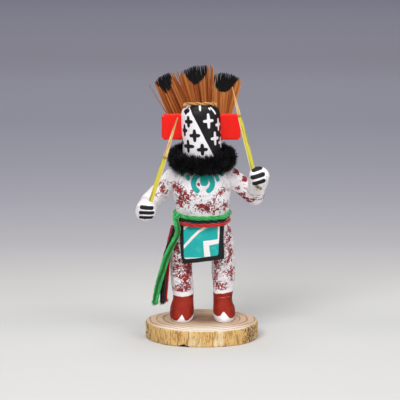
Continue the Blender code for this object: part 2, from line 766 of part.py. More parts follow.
def make_headband():
    """A cord drawn tight over the crown and down behind the quills, in one tilted plane.

    What it passes round is the head, grown by the cord's radius, and the backs of the feathers.
    """
    reach = BAND_RADIUS + YARN_GAP
    profile = np.array(head_profile(reach)[:-2])
    lowest = profile[0, 1] - math.tan(BAND_TILT) * 2 * profile[-1, 0]
    heights = np.linspace(lowest, profile[0, 1], 260)
    radii = np.interp(heights, profile[::-1, 1], profile[::-1, 0])
    angle = np.arange(180) * math.pi / 90
    skin = np.stack(
        [
            np.outer(radii, np.cos(angle)),
            np.outer(radii, np.sin(angle)),
            np.outer(heights, np.ones(180)),
        ],
        axis=-1,
    ).reshape(-1, 3)
    slope = np.array([0, math.cos(BAND_TILT), -math.sin(BAND_TILT)])
    normal = np.array([0, math.sin(BAND_TILT), math.cos(BAND_TILT)])
    start = np.array([0, BAND_FRONT * PART, profile[0, 1]])
    near = np.abs((skin - start) @ normal) < reach / 3
    section = np.stack([skin[near, 0], (skin[near] - start) @ slope], axis=1)
    backs = []
    to_head = head_matrix().inverted()
    for foot, tip, half_width, layer, full_at in FEATHERS.values():
        tilted = math.hypot(tip[0] - foot[0], tip[1] - foot[1]) / (tip[1] - foot[1])
        for face in (-1, 1):
            depth = layer_y(layer) + face * (FEATHER_THICKNESS / 2 + reach)
            level = (start[2] - math.tan(BAND_TILT) * (depth - start[1])) / PART
            depth += FEATHER_LEAN * (level - foot[1]) * PART + face * GAP
            share = (level + 2 * reach / PART - foot[1]) / (tip[1] - foot[1])
            middle = foot[0] + (tip[0] - foot[0]) * share
            half = (feather_half(half_width, full_at, share) * tilted + reach + GAP) / PART
            for side in (-1, 1):
                corner = to_head @ at((middle + side * half, depth / PART, level))
                backs.append((corner.x, (corner.y - start[1]) / slope[1]))
    loop = taut_loop(np.vstack([section, backs]), 0.0, BAND_STEPS)
    points = start + np.outer(loop[:, 1], slope)
    points[:, 0] += loop[:, 0]
    band = tube("headband", points, BAND_RADIUS, BAND_TAN, cyclic=True)
    return place_flat(band, head_matrix())


def apron_front(x):
    """Depth of the flap's front face at a distance from its middle, in metres from the axis."""
    covered = [section for section in TRUNK_SECTIONS if APRON_LEFT_FOOT < section[0] < APRON_TOP]
    belly = max(front for _, _, _, front, _ in covered) * PART
    bend = APRON_CURVE * (2 * x / APRON_WIDTH) ** 2
    return -(belly + GAP + APRON_THICKNESS) + bend


def make_apron():
    """A thin flap, bent round the belly, with a lower edge that is cut at a slant."""
    form = bmesh.new()
    bmesh.ops.create_grid(form, x_segments=APRON_COLUMNS, y_segments=APRON_ROWS, size=0.5)
    for vertex in form.verts:
        x = vertex.co.x * APRON_WIDTH
        foot = APRON_LEFT_FOOT + (APRON_RIGHT_FOOT - APRON_LEFT_FOOT) * (vertex.co.x + 0.5)
        edge = max(0.0, abs(x) - (APRON_WIDTH / 2 - APRON_ROUND)) / APRON_ROUND
        foot_z = foot * PART + APRON_ROUND * 0.55 * edge**2
        up = vertex.co.y + 0.5
        z = foot_z + (APRON_TOP * PART - foot_z) * up
        vertex.co = Vector((x, FIGURE_Y + apron_front(x), SOLE_Z + z))
    bmesh.ops.recalc_face_normals(form, faces=form.faces)
    mesh = bpy.data.meshes.new("apron")
    form.to_mesh(mesh)
    form.free()
    if mesh.polygons[0].normal.y > 0:
        mesh.flip_normals()
    apron = bpy.data.objects.new("apron", mesh)
    DOLL.objects.link(apron)
    keep(apron, APRON_TEAL)
    skin = apron.modifiers.new("skin", "SOLIDIFY")
    skin.thickness = APRON_THICKNESS
    skin.offset = -1
    return apron


def sash_turn(height, radius):
    """One turn of yarn round the waist and over the flap: it sags in front and climbs to the knot."""
    outline = []
    for level in (-1, 0, 1):
        section = section_at(TRUNK_SECTIONS, height + level * radius / PART)
        outline.append(section_ring(section, 96)[:, :2])
    xs = np.linspace(-APRON_WIDTH / 2, APRON_WIDTH / 2, 25)
    flap = np.array([(x, FIGURE_Y + apron_front(x) - GAP) for x in xs])
    loop = taut_loop(np.vstack(outline + [flap]), radius + YARN_GAP, SASH_STEPS)
    side = loop[:, 0] / np.abs(loop[:, 0]).max()
    ahead = np.clip((FIGURE_Y - loop[:, 1]) / np.abs(FIGURE_Y - loop[:, 1]).max(), 0, 1)
    lift = SASH_RISE * np.clip(-side, 0, 1) ** 2 * ahead - SASH_DROP * (1 - side**2) * ahead
    return np.column_stack([loop, SOLE_Z + (height + lift) * PART])


def make_sash():
    """Three turns of yarn: green above, black in the middle, red below, and the green's knot."""
    green_up = (SASH_GREEN_RADIUS + SASH_BLACK_RADIUS + YARN_GAP) / PART
    red_down = (SASH_RED_RADIUS + SASH_BLACK_RADIUS + YARN_GAP) / PART
    for name, height, radius, material in (
        ("sash_black", SASH_MIDDLE, SASH_BLACK_RADIUS, BLACK_YARN),
        ("sash_red", SASH_MIDDLE - red_down, SASH_RED_RADIUS, RED_YARN),
    ):
        tube(name, sash_turn(height, radius), radius, material, cyclic=True)
    turn = sash_turn(SASH_MIDDLE + green_up, SASH_GREEN_RADIUS)
    sash = meshed(tube("sash_green", turn, SASH_GREEN_RADIUS, GREEN_YARN, cyclic=True), GREEN_YARN)
    side_x, side_y = (value * PART for value in KNOT_PLACE)
    nearest = min(turn, key=lambda p: math.hypot(p[0] - side_x, p[1] - FIGURE_Y - side_y))
    bpy.ops.mesh.primitive_uv_sphere_add(segments=14, ring_count=9, radius=KNOT_RADIUS)
    knot = bpy.context.object
    knot.name = "knot_form"
    knot.location = Vector(nearest) + Vector(KNOT_PROUD) * KNOT_RADIUS
    keep(knot, GREEN_YARN, CUTTERS)
    boolean(sash, knot, "UNION")


def make_tails():
    """The three loose ends, each a smooth hanging cord of its own."""
    for name, route, radius, material in (
        ("tail_green", TAIL_GREEN_ROUTE, TAIL_GREEN_RADIUS, GREEN_YARN),
        ("tail_black", TAIL_BLACK_ROUTE, TAIL_BLACK_RADIUS, BLACK_YARN),
        ("tail_red", TAIL_RED_ROUTE, TAIL_RED_RADIUS, RED_YARN),
    ):
        points = smooth_path([at(point) for point in route], TAIL_STEPS)
        tube(name, points, radius, material)


make_base()
make_figure()
TRUNK_SEAT, HEAD_SEAT = make_seats()
make_ears(HEAD_SEAT)
make_arms(TRUNK_SEAT)
make_ruff(TRUNK_SEAT, HEAD_SEAT)
make_feathers()
make_headband()
make_apron()
make_sash()
make_tails()
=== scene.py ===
"""A carved and painted kachina doll on a slice of branch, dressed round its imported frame.

Sizes are in millimetres and turned to metres where a mesh is made. +Z is up and the doll faces
-Y. Left and right are those of someone who looks at its front. Painted outlines are signed
distances in millimetres, negative inside, which each piece carries as attributes.
"""

from __future__ import annotations

import logging
import math
from collections.abc import Callable, Sequence
from dataclasses import dataclass
from enum import Enum

import bpy
import numpy as np
from mathutils import Matrix, Vector


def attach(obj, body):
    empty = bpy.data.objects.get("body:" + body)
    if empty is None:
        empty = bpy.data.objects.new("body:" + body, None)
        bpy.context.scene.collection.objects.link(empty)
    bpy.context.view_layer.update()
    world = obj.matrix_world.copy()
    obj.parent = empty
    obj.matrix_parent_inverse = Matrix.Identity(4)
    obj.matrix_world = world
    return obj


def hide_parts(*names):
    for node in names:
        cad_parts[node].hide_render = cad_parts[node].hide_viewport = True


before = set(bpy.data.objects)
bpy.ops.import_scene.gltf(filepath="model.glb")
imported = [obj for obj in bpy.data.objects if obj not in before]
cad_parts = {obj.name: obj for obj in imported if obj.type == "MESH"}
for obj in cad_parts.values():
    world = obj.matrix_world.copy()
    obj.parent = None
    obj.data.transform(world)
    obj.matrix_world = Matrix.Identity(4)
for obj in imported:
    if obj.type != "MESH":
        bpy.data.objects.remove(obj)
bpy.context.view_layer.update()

LOG = logging.getLogger("kachina_doll")
Array = np.ndarray
Spot = tuple[float, float]
Point = tuple[float, float, float]
Socket = bpy.types.NodeSocket
Material = bpy.types.Material
Mesh = bpy.types.Mesh
Piece = bpy.types.Object
Form = tuple[Array, list[Sequence[int]]]

# Lengths are in millimetres, and Blender's unit is the metre.
MM = 0.001
# The doll's axis is behind the slice's middle, and its soles stand on the slice's top.
AXIS_Y = 5.0
SOLE_Z = 7.1
STAND = (0.0, AXIS_Y, SOLE_Z)
BASE_TOP = 6.8
FIGURE_TALL = 93.0
HEAD_RADIUS = 8.4
# A signed distance well outside every painted outline.
FAR = 9.0


def linear(hex_colour: str) -> tuple[float, float, float, float]:
    """Turns an sRGB hex colour into linear light.

    Args:
        hex_colour: six digits after a hash.

    Returns:
        Linear red, green, blue and an alpha of 1.
    """
    shares = [int(hex_colour[i : i + 2], 16) / 255 for i in (1, 3, 5)]
    red, green, blue = (c / 12.92 if c <= 0.04045 else ((c + 0.055) / 1.055) ** 2.4 for c in shares)
    return (red, green, blue, 1.0)


def add_node(
    tree: bpy.types.NodeTree,
    kind: str,
    settings: dict[str, object] | None = None,
    links: dict[int | str, object] | None = None,
) -> bpy.types.Node:
    """Adds a node with its settings, its links and its unlinked values.

    Args:
        tree: the material's nodes.
        kind: the node's type.
        settings: properties of the node.
        links: for each input, the output that feeds it or its plain value.

    Returns:
        The new node.
    """
    node = tree.nodes.new(kind)
    for key, value in (settings or {}).items():
        setattr(node, key, value)
    for key, value in (links or {}).items():
        if isinstance(value, Socket):
            tree.links.new(value, node.inputs[key])
        else:
            node.inputs[key].default_value = value
    return node


class Op(Enum):
    """The steps of arithmetic that the finishes use."""

    ADD = "ADD"
    SUBTRACT = "SUBTRACT"
    MULTIPLY = "MULTIPLY"
    DIVIDE = "DIVIDE"
    MULTIPLY_ADD = "MULTIPLY_ADD"
    MAXIMUM = "MAXIMUM"
    MINIMUM = "MINIMUM"
    ABSOLUTE = "ABSOLUTE"
    SINE = "SINE"


class Side(Enum):
    """Where a piece is for someone who looks at the doll's front."""

    LEFT = "left"
    MIDDLE = "middle"
    RIGHT = "right"


class Palette:
    """One material's nodes, and the few steps that every finish repeats on them."""

    def __init__(self, name: str, roughness: float, sheen: float = 0.0) -> None:
        """Starts a material with a Principled shader.

        Args:
            name: the finish's name.
            roughness: the shader's roughness.
            sheen: weight of the fuzz that lint and pile give.
        """
        self.material = bpy.data.materials.new(name)
        self.material.use_nodes = True
        self.tree = self.material.node_tree
        self.shader = self.tree.nodes["Principled BSDF"]
        self.shader.inputs["Roughness"].default_value = roughness
        self.shader.inputs["Sheen Weight"].default_value = sheen
        self.shader.inputs["Sheen Roughness"].default_value = 0.5
        self.shader.inputs["Specular IOR Level"].default_value = 0.22
        self.place = add_node(self.tree, "ShaderNodeTexCoord").outputs["Object"]
        self.colour: Socket | None = None

    def field(self, name: str, vector: bool = False) -> Socket:
        """An attribute of the piece, as a number or as a vector."""
        node = add_node(self.tree, "ShaderNodeAttribute", {"attribute_name": name})
        return node.outputs["Vector" if vector else "Fac"]

    def stretch(self, scale: Point, source: Socket | None = None) -> Socket:
        """The piece's own coordinates, or others, scaled along each axis."""
        links = {"Vector": source or self.place, "Scale": scale}
        return add_node(self.tree, "ShaderNodeMapping", links=links).outputs[0]

    def noise(
        self,
        per_mm: float,
        detail: float = 3.0,
        source: Socket | None = None,
        roughness: float = 0.55,
        distortion: float = 0.0,
    ) -> Socket:
        """Noise with so many cells to the millimetre on coordinates in metres.

        Args:
            per_mm: cells in each millimetre.
            detail: how many finer layers lie on it.
            source: the coordinates, where they aren't the piece's own.
            roughness: how strong the finer layers are.
            distortion: how far the cells are drawn out of place.

        Returns:
            The noise, about 0.5 in the mean.
        """
        links = {"Vector": source or self.place, "Scale": per_mm / MM, "Detail": detail}
        links |= {"Roughness": roughness, "Distortion": distortion}
        return add_node(self.tree, "ShaderNodeTexNoise", links=links).outputs["Fac"]

    def ramp(
        self, value: Socket, low: float, high: float, to_low: float = 0.0, to_high: float = 1.0
    ) -> Socket:
        """A smooth step from one value to another as the input passes from low to high."""
        smooth = {"interpolation_type": "SMOOTHSTEP"}
        links = {"Value": value, "From Min": low, "From Max": high, "To Min": to_low, "To Max": to_high}
        return add_node(self.tree, "ShaderNodeMapRange", smooth, links).outputs[0]

    def calc(self, op: Op, first: object, second: object = 0.0, third: object = 0.0) -> Socket:
        """One step of arithmetic on numbers or outputs."""
        links = {0: first, 1: second, 2: third}
        return add_node(self.tree, "ShaderNodeMath", {"operation": op.value}, links).outputs[0]

    def over(self, under: Socket | str, top: Socket | str, share: Socket | float) -> Socket:
        """Lays one colour over another.

        Args:
            under: a hex colour or an output.
            top: the same, for what lies over it.
            share: how much of the top shows, as a number or an output.

        Returns:
            The mixed colour's output.
        """
        low, high = (linear(side) if isinstance(side, str) else side for side in (under, top))
        links = {0: share, 6: low, 7: high}
        return add_node(self.tree, "ShaderNodeMix", {"data_type": "RGBA"}, links).outputs[2]

    def lay(self, top: Socket | str, share: Socket | float) -> None:
        """Lays a colour over all that the material has so far."""
        self.colour = self.over(self.colour, top, share)

    def edge(self, name: str, wander: float = 0.12, soft: float = 0.07) -> Socket:
        """A painted outline from a signed distance, with the waver of a hand-held brush."""
        waver = self.calc(Op.MULTIPLY_ADD, self.noise(0.7, 2.0), 2 * wander, -wander)
        distance = self.calc(Op.ADD, self.field(name), waver)
        return self.ramp(distance, -soft, soft, 1.0, 0.0)

    def finish(self, height: Socket | None = None, depth: float = 0.05) -> Material:
        """Joins the colour and the relief to the shader.

        Args:
            height: what the relief is read from.
            depth: the relief's depth in millimetres.

        Returns:
            The finished material.
        """
        self.tree.links.new(self.colour, self.shader.inputs["Base Color"])
        if height is not None:
            links = {"Height": height, "Distance": depth * MM, "Strength": 1.0}
            bump = add_node(self.tree, "ShaderNodeBump", links=links)
            self.tree.links.new(bump.outputs[0], self.shader.inputs["Normal"])
        return self.material


@dataclass(frozen=True)
class BodyPaint:
    """White poster paint on carved cottonwood, dabbed with brick red and maroon by a dry sponge.

    Matt and a little chalky: the red lies on the high spots and leaves scratchy gaps.
    """

    white: str = "#F4F0F3"
    chalk: str = "#D6D0D8"
    red: str = "#9E2A2C"
    maroon: str = "#6A2230"
    boot: str = "#9C2818"
    boot_dark: str = "#5E120C"
    teal: str = "#1FA7A0"
    black: str = "#17171A"
    olive: str = "#5E5420"

    def dabbed(self, paint: Palette) -> Socket:
        """White ground with its sponged dabs, which an attribute makes thick or thin.

        Args:
            paint: the material's nodes.

        Returns:
            The colour's output.
        """
        ground = paint.over(self.white, self.chalk, paint.ramp(paint.noise(0.22, 4.0), 0.45, 0.75))
        thick = paint.field("dab")
        grain = paint.noise(0.8, 6.0, roughness=0.64, distortion=1.1)
        load = paint.calc(Op.MULTIPLY_ADD, thick, 0.18, grain)
        mask = paint.ramp(load, 0.615, 0.65)
        slow = paint.noise(0.62, 3.0, distortion=0.8)
        curl = paint.calc(Op.ABSOLUTE, paint.calc(Op.SUBTRACT, slow, 0.5))
        worm = paint.calc(Op.MULTIPLY_ADD, paint.field("worm"), -0.042, curl)
        mask = paint.calc(Op.MAXIMUM, mask, paint.ramp(worm, -0.006, 0.012, 1.0, 0.0))
        rim = paint.ramp(load, 0.632, 0.675, 0.75, 0.0)
        deep = paint.calc(Op.MAXIMUM, rim, paint.ramp(paint.noise(0.6, 3.0), 0.46, 0.6))
        red = paint.over(self.red, self.maroon, deep)
        return paint.over(ground, red, mask)

    def body(self) -> Material:
        """The trunk, the legs and the boots.

        Returns:
            The material.
        """
        paint = Palette("white_poster_paint_sponged_red", 0.62)
        paint.colour = self.dabbed(paint)
        paint.lay(self.teal, paint.edge("necklace", 0.1))
        # Painted shade: the boots' red darkens towards their sides and tops, broken up by a mottle.
        mottled_painted_shade = paint.calc(
            Op.MULTIPLY, paint.ramp(paint.noise(0.35, 4.0), 0.42, 0.7), paint.field("boot_painted_shade")
        )
        leather = paint.over(self.boot, self.boot_dark, paint.calc(Op.MINIMUM, mottled_painted_shade, 0.85))
        leather = paint.over(leather, "#B8402E", paint.ramp(paint.noise(0.9, 4.0), 0.55, 0.8, 0.0, 0.4))
        # A pale pink line across the right boot's top.
        pale_boot_line = paint.ramp(paint.field("pale_boot_line"), -0.08, 0.1, 0.8, 0.0)
        leather = paint.over(leather, "#D99A90", pale_boot_line)
        paint.lay(self.white, paint.ramp(paint.field("cuff"), -0.05, 0.1, 1.0, 0.0))
        paint.lay(leather, paint.edge("boot", 0.16))
        return paint.finish(self.brushed(paint), 0.05)

    def arm(self) -> Material:
        """An arm: sponged dabs, maroon lines round the wrist and black fingers on the fist.

        Returns:
            The material.
        """
        paint = Palette("white_poster_paint_fist", 0.6)
        paint.colour = self.dabbed(paint)
        broken = paint.ramp(paint.noise(0.9, 3.0), 0.42, 0.55)
        line = paint.calc(Op.MULTIPLY, paint.edge("line", 0.12), broken)
        paint.lay("#8E2F38", line)
        # An olive patch low on the fist's front.
        thin = paint.ramp(paint.noise(1.6, 4.0), 0.4, 0.5, 0.25, 1.0)
        olive_patch = paint.calc(Op.MULTIPLY, paint.edge("olive_patch", 0.3, 0.3), thin)
        paint.lay(self.olive, olive_patch)
        paint.lay(self.black, paint.edge("stripe", 0.07))
        return paint.finish(self.brushed(paint), 0.05)

    def mask(self) -> Material:
        """The case mask: white and near black, halved by a diagonal, with crosses in both.

        Returns:
            The material.
        """
        paint = Palette("black_and_white_mask_paint", 0.5)
        white = paint.over(self.white, "#DCD9D4", paint.ramp(paint.noise(0.5, 4.0), 0.5, 0.8))
        dark = paint.over("#161518", "#2B2B30", paint.ramp(paint.noise(0.6, 5.0), 0.5, 0.85))
        paint.colour = paint.over(dark, white, paint.edge("white", 0.09))
        return paint.finish(self.brushed(paint), 0.045)

    @staticmethod
    def brushed(paint: Palette) -> Socket:
        """Relief of carving and brush: slow facets from the knife and fine streaks."""
        carved = paint.noise(0.28, 2.0)
        streaks = paint.noise(1.2, 4.0, paint.stretch((1.6, 1.6, 0.45)))
        return paint.calc(Op.MULTIPLY_ADD, carved, 0.9, paint.calc(Op.MULTIPLY, streaks, 0.5))


@dataclass(frozen=True)
class EarPaint:
    """Bright red poster paint on a thin board, paler with wear at its corners."""

    red: str = "#F01E14"
    shade: str = "#D6140E"
    pale: str = "#F4655A"

    def material(self) -> Material:
        """Even red with faint upright brush marks.

        Returns:
            The material.
        """
        paint = Palette("red_poster_paint", 0.5)
        streaks = paint.noise(0.9, 4.0, paint.stretch((1.5, 1.5, 0.25)))
        paint.colour = paint.over(self.red, self.shade, paint.ramp(streaks, 0.48, 0.75, 0.0, 0.6))
        paint.lay(self.pale, paint.ramp(paint.field("wear"), 0.55, 1.0, 0.0, 0.7))
        return paint.finish(streaks, 0.03)


@dataclass(frozen=True)
class FlapPaint:
    """Thin suede painted on its face: the pile still shows through as a soft grain."""

    teal: str = "#1CACA8"
    teal_thin: str = "#48BAB4"
    black: str = "#161518"
    white: str = "#F1EDEA"
    suede: str = "#8C6B4B"

    def material(self) -> Material:
        """Turquoise field in a black border, with white lines, and bare suede behind.

        Returns:
            The material.
        """
        paint = Palette("painted_suede", 0.68, sheen=0.15)
        nap = paint.noise(2.2, 4.0, roughness=0.7)
        paint.colour = paint.over(self.teal, self.teal_thin, paint.ramp(paint.noise(0.4, 4.0), 0.5, 0.78))
        paint.lay(self.white, paint.edge("lines", 0.08))
        black = paint.over(self.black, "#3A393C", paint.ramp(nap, 0.55, 0.8))
        paint.lay(black, paint.edge("border", 0.12))
        suede = paint.over(self.suede, "#6E5036", paint.ramp(nap, 0.4, 0.7))
        paint.lay(suede, paint.ramp(paint.field("behind"), 0.4, 0.6))
        return paint.finish(nap, 0.04)


@dataclass(frozen=True)
class Pile:
    """Dyed black fur: each hair is glossy, and its tip is painted a shade lighter as a cool highlight."""

    root: str = "#030304"
    tip: str = "#141317"

    def material(self) -> Material:
        """Black at the root, with a painted highlight that makes the tip a shade lighter.

        Returns:
            The material.
        """
        paint = Palette("dyed_black_fur", 0.5, sheen=0.04)
        # Painted highlight: each hair lightens from root to tip.
        paint.colour = paint.over(self.root, self.tip, paint.field("reach"))
        return paint.finish()


@dataclass(frozen=True)
class Barbs:
    """Feather barbs: horn-like, so they shine a little, rust brown with black tips."""

    rust: str = "#8E4214"
    gold: str = "#CC8442"
    dark: str = "#4E1606"
    black: str = "#030304"
    quill: str = "#C9AE8C"

    def material(self) -> Material:
        """Rust barbs that differ one from the next, black where the tip field says so.

        Returns:
            The material.
        """
        paint = Palette("feather_barbs", 0.45)
        tint = paint.field("tint")
        paint.colour = paint.over(self.rust, self.gold, paint.ramp(tint, 0.5, 1.0, 0.0, 0.9))
        paint.lay(self.dark, paint.ramp(tint, 0.36, 0.06, 0.0, 0.9))
        paint.lay(self.gold, paint.ramp(paint.field("reach"), 0.7, 1.0, 0.0, 0.3))
        paint.lay(self.black, paint.ramp(paint.field("tip"), -0.15, 0.2, 1.0, 0.0))
        paint.lay(self.quill, paint.field("quill"))
        return paint.finish()


@dataclass(frozen=True)
class Yarn:
    """Plied acrylic yarn: fine fibres run along each ply and soften its edge."""

    name: str
    light: str
    deep: str

    def material(self) -> Material:
        """Fibres as long noise along the ply, with painted shade where the plies meet.

        Returns:
            The material.
        """
        paint = Palette(self.name, 0.7, sheen=0.3)
        thread = paint.field("thread", vector=True)
        fibres = paint.noise(1.0, 4.0, paint.stretch((0.35, 6.0, 6.0), thread), roughness=0.7)
        paint.colour = paint.over(self.deep, self.light, paint.ramp(fibres, 0.32, 0.62))
        # Painted shade: the yarn darkens where a point lies deep in the cord, between the plies.
        paint.lay(self.deep, paint.ramp(paint.field("groove"), 0.25, 1.0, 0.0, 0.8))
        return paint.finish(fibres, 0.06)


@dataclass(frozen=True)
class LeafSkin:
    """Split yucca leaf: waxy, with lengthwise veins, a pale fibrous margin and a dried end."""

    green: str = "#D2C448"
    vein: str = "#6F7722"
    margin: str = "#F0E8C8"
    dried: str = "#C08A50"

    def material(self) -> Material:
        """Veins from the width field, and drying from the length field.

        Returns:
            The material.
        """
        paint = Palette("yucca_leaf", 0.42)
        lane = paint.field("lane", vector=True)
        veins = paint.noise(1.0, 3.0, paint.stretch((2.6, 0.08, 1.0), lane))
        paint.colour = paint.over(self.green, self.vein, paint.ramp(veins, 0.52, 0.64, 0.0, 0.85))
        margin = paint.ramp(paint.field("margin"), 0.6, 0.85, 0.0, 0.85)
        paint.lay(self.margin, margin)
        dry = paint.over(self.dried, "#F0D8A0", paint.ramp(veins, 0.44, 0.56))
        paint.lay(dry, paint.ramp(paint.field("dry"), -0.03, 0.05))
        mark = paint.ramp(paint.calc(Op.ABSOLUTE, paint.field("dry")), 0.006, 0.018, 0.7, 0.0)
        paint.lay("#8A5A2C", mark)
        return paint.finish(veins, 0.05)


@dataclass(frozen=True)
class SliceWood:
    """Sawn branch: growth rings on its face, and the fibrous inner bark round its side."""

    face: str = "#FFF2E0"
    late: str = "#9A7250"
    # The colour of the painted shadow round the doll's feet, darkest at the pith.
    heart: str = "#7C5A42"
    bark: str = "#E4BC7C"
    bark_deep: str = "#A97B3E"
    scar: str = "#5A3B26"

    def top(self) -> Material:
        """Rings about the pith, uneven in width, with the saw's faint marks.

        Painted light makes the front paler, and a painted shadow darkens the top round the feet.

        Returns:
            The material.
        """
        paint = Palette("sawn_branch_face", 0.72)
        reach = paint.calc(Op.MULTIPLY_ADD, paint.noise(0.12, 3.0), 1.6, paint.field("radius"))
        wide = paint.calc(Op.SINE, paint.calc(Op.MULTIPLY, reach, 4.1))
        narrow = paint.calc(Op.SINE, paint.calc(Op.MULTIPLY, reach, 9.3))
        broad = paint.calc(Op.SINE, paint.calc(Op.MULTIPLY, reach, 2.1))
        rings = paint.calc(Op.MULTIPLY_ADD, narrow, 0.3, paint.calc(Op.MULTIPLY_ADD, broad, 0.8, wide))
        # Painted light: the top is paler towards its front edge and darker towards the back.
        paint.colour = paint.over("#D0B498", self.face, paint.field("front"))
        paint.lay(self.late, paint.ramp(rings, 0.2, 1.5, 0.0, 0.8))
        # Painted shadow: the top darkens round the pith, under and behind the doll's feet.
        paint.lay(self.heart, paint.ramp(paint.field("radius"), 13.0, 4.0, 0.0, 0.85))
        fine = paint.noise(1.3, 4.0, roughness=0.7)
        paint.lay("#F1DCC8", paint.ramp(fine, 0.5, 0.8, 0.0, 0.5))
        return paint.finish(paint.calc(Op.ADD, fine, paint.calc(Op.MULTIPLY, rings, 0.2)), 0.05)

    def side(self) -> Material:
        """Upright fibres, with darker speckled scars right and left and ragged low notches of painted
        shade.

        Returns:
            The material.
        """
        paint = Palette("inner_bark", 0.78)
        fibres = paint.noise(0.9, 5.0, paint.stretch((1.6, 1.6, 0.3)), roughness=0.68)
        broad = paint.noise(0.25, 3.0, paint.stretch((1.0, 1.0, 0.25)))
        paint.colour = paint.over(self.bark, self.bark_deep, paint.ramp(fibres, 0.45, 0.64, 0.0, 1.0))
        streaks = paint.noise(1.1, 4.0, paint.stretch((1.3, 1.3, 0.35)), roughness=0.6)
        paint.lay("#8A5A2C", paint.ramp(streaks, 0.58, 0.68, 0.0, 0.7))
        paint.lay("#F6E6C2", paint.ramp(broad, 0.5, 0.66, 0.0, 0.8))
        speckle = paint.noise(1.4, 4.0, paint.stretch((1.0, 1.0, 0.7)))
        scar = paint.calc(Op.MULTIPLY_ADD, paint.field("scar"), 0.2, speckle)
        paint.lay(self.scar, paint.ramp(scar, 0.62, 0.72, 0.0, 0.9))
        # Painted shade: the notches low on the front are painted near black.
        paint.lay("#2A1A10", paint.edge("notch", 0.25, 0.15))
        return paint.finish(fibres, 0.16)


def dressed(name: str, mesh: Mesh, material: Material, fields: dict[str, Array]) -> Piece:
    """Puts a mesh in the scene at the origin, smooth, and lets it ride on the root body.

    Args:
        name: the piece's name.
        mesh: its mesh, which it takes over.
        material: its material.
        fields: its attributes, a number or three numbers for each point.

    Returns:
        The piece.
    """
    mesh.name = name
    mesh.materials.append(material)
    for key, values in fields.items():
        kind, slot = ("FLOAT", "value") if values.ndim == 1 else ("FLOAT_VECTOR", "vector")
        layer = mesh.attributes.new(key, kind, "POINT")
        layer.data.foreach_set(slot, values.astype(np.float32).ravel())
    mesh.shade_smooth()
    piece = bpy.data.objects.new(name, mesh)
    bpy.context.scene.collection.objects.link(piece)
    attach(piece, "root")
    return piece


def make_piece(
    name: str,
    points: Array,
    faces: Array | list[Sequence[int]],
    material: Material,
    fields: dict[str, Array],
) -> Piece:
    """Makes a piece from points and faces.

    Args:
        name: the piece's name.
        points: its points in millimetres, of shape (n, 3).
        faces: its faces, all of one size where they come as an array.
        material: its material.
        fields: its attributes, a number or three numbers for each point.

    Returns:
        The piece.
    """
    mesh = bpy.data.meshes.new(name)
    places = np.ascontiguousarray(points, dtype=np.float32) * MM
    if isinstance(faces, np.ndarray):
        mesh.vertices.add(len(places))
        mesh.vertices.foreach_set("co", places.ravel())
        mesh.loops.add(faces.size)
        mesh.loops.foreach_set("vertex_index", faces.astype(np.int32).ravel())
        mesh.polygons.add(len(faces))
        starts = np.arange(0, faces.size, faces.shape[1], dtype=np.int32)
        mesh.polygons.foreach_set("loop_start", starts)
        mesh.update(calc_edges=True)
    else:
        mesh.from_pydata(places.tolist(), [], faces)
    piece = dressed(name, mesh, material, fields)
    mesh.validate()
    return piece


def stand_in(piece: Piece, node: str) -> Piece:
    """Hides the CAD node that a piece stands in for.

    Args:
        piece: the piece.
        node: the CAD node.

    Returns:
        The same piece.
    """
    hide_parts(node)
    return piece


def full_turn(count: int) -> Array:
    """Even steps round a full turn, in radians."""
    return np.arange(count) * 2 * math.pi / count


def turned(side: Array, other: Array, angle: Array) -> Array:
    """Directions at an angle from one axis towards another."""
    return side * np.cos(angle)[..., None] + other * np.sin(angle)[..., None]


def unit(vectors: Array) -> Array:
    """The same directions at length 1."""
    return vectors / np.linalg.norm(vectors, axis=-1, keepdims=True)


def square_to(way: Array) -> Array:
    """A unit vector square to a direction."""
    helper = np.array([0.0, 0.0, 1.0]) if abs(way[2]) < 0.9 else np.array([1.0, 0.0, 0.0])
    return unit(np.cross(way, helper))


def ribbons(middle: Array, half: Array) -> tuple[Array, Array]:
    """Flat strips, as many as there are hairs or barbs.

    Args:
        middle: the points of each strip's middle line, of shape (strips, steps, 3).
        half: from the middle line to an edge, of the same shape.

    Returns:
        Their points, edge by edge at each step, and their quads.
    """
    count, steps = middle.shape[:2]
    points = np.stack([middle - half, middle + half], axis=2).reshape(-1, 3)
    first = (np.arange(count)[:, None] * steps + np.arange(steps - 1)).reshape(-1, 1) * 2
    return points, first + (0, 1, 3, 2)


def grid_faces(rows: int, columns: int, around: bool = True, closed: bool = False) -> Array:
    """Quads over a grid of points, row after row.

    Args:
        rows: how many rows of points there are.
        columns: how many points there are in each row.
        around: whether each row closes on itself.
        closed: whether the last row joins the first.

    Returns:
        The quads, of shape (n, 4), which face outwards where the rows turn anticlockwise seen
        from above and rise.
    """
    down = np.arange(rows if closed else rows - 1)
    along_row = np.arange(columns if around else columns - 1)
    row, column = np.meshgrid(down, along_row, indexing="ij")
    above, ahead = (row + 1) % rows, (column + 1) % columns
    corners = ((row, column), (row, ahead), (above, ahead), (above, column))
    return np.stack([i * columns + j for i, j in corners], axis=-1).reshape(-1, 4)


def capped(points: Array, rows: int, columns: int) -> Form:
    """A skin over closed rows of points with a fan of triangles at each end.

    Args:
        points: the grid's points, of shape (rows * columns, 3).
        rows: how many rows there are.
        columns: how many points there are in each row.

    Returns:
        The points with the two middles added, and the faces.
    """
    ends = np.stack([points[:columns].mean(axis=0), points[-columns:].mean(axis=0)])
    turn = np.arange(columns)
    ahead = (turn + 1) % columns
    low, high = np.full(columns, len(points)), np.full(columns, len(points) + 1)
    top = (rows - 1) * columns
    faces = grid_faces(rows, columns).tolist()
    faces += np.stack([ahead, turn, low], axis=1).tolist()
    faces += np.stack([top + turn, top + ahead, high], axis=1).tolist()
    return np.vstack([points, ends]), faces


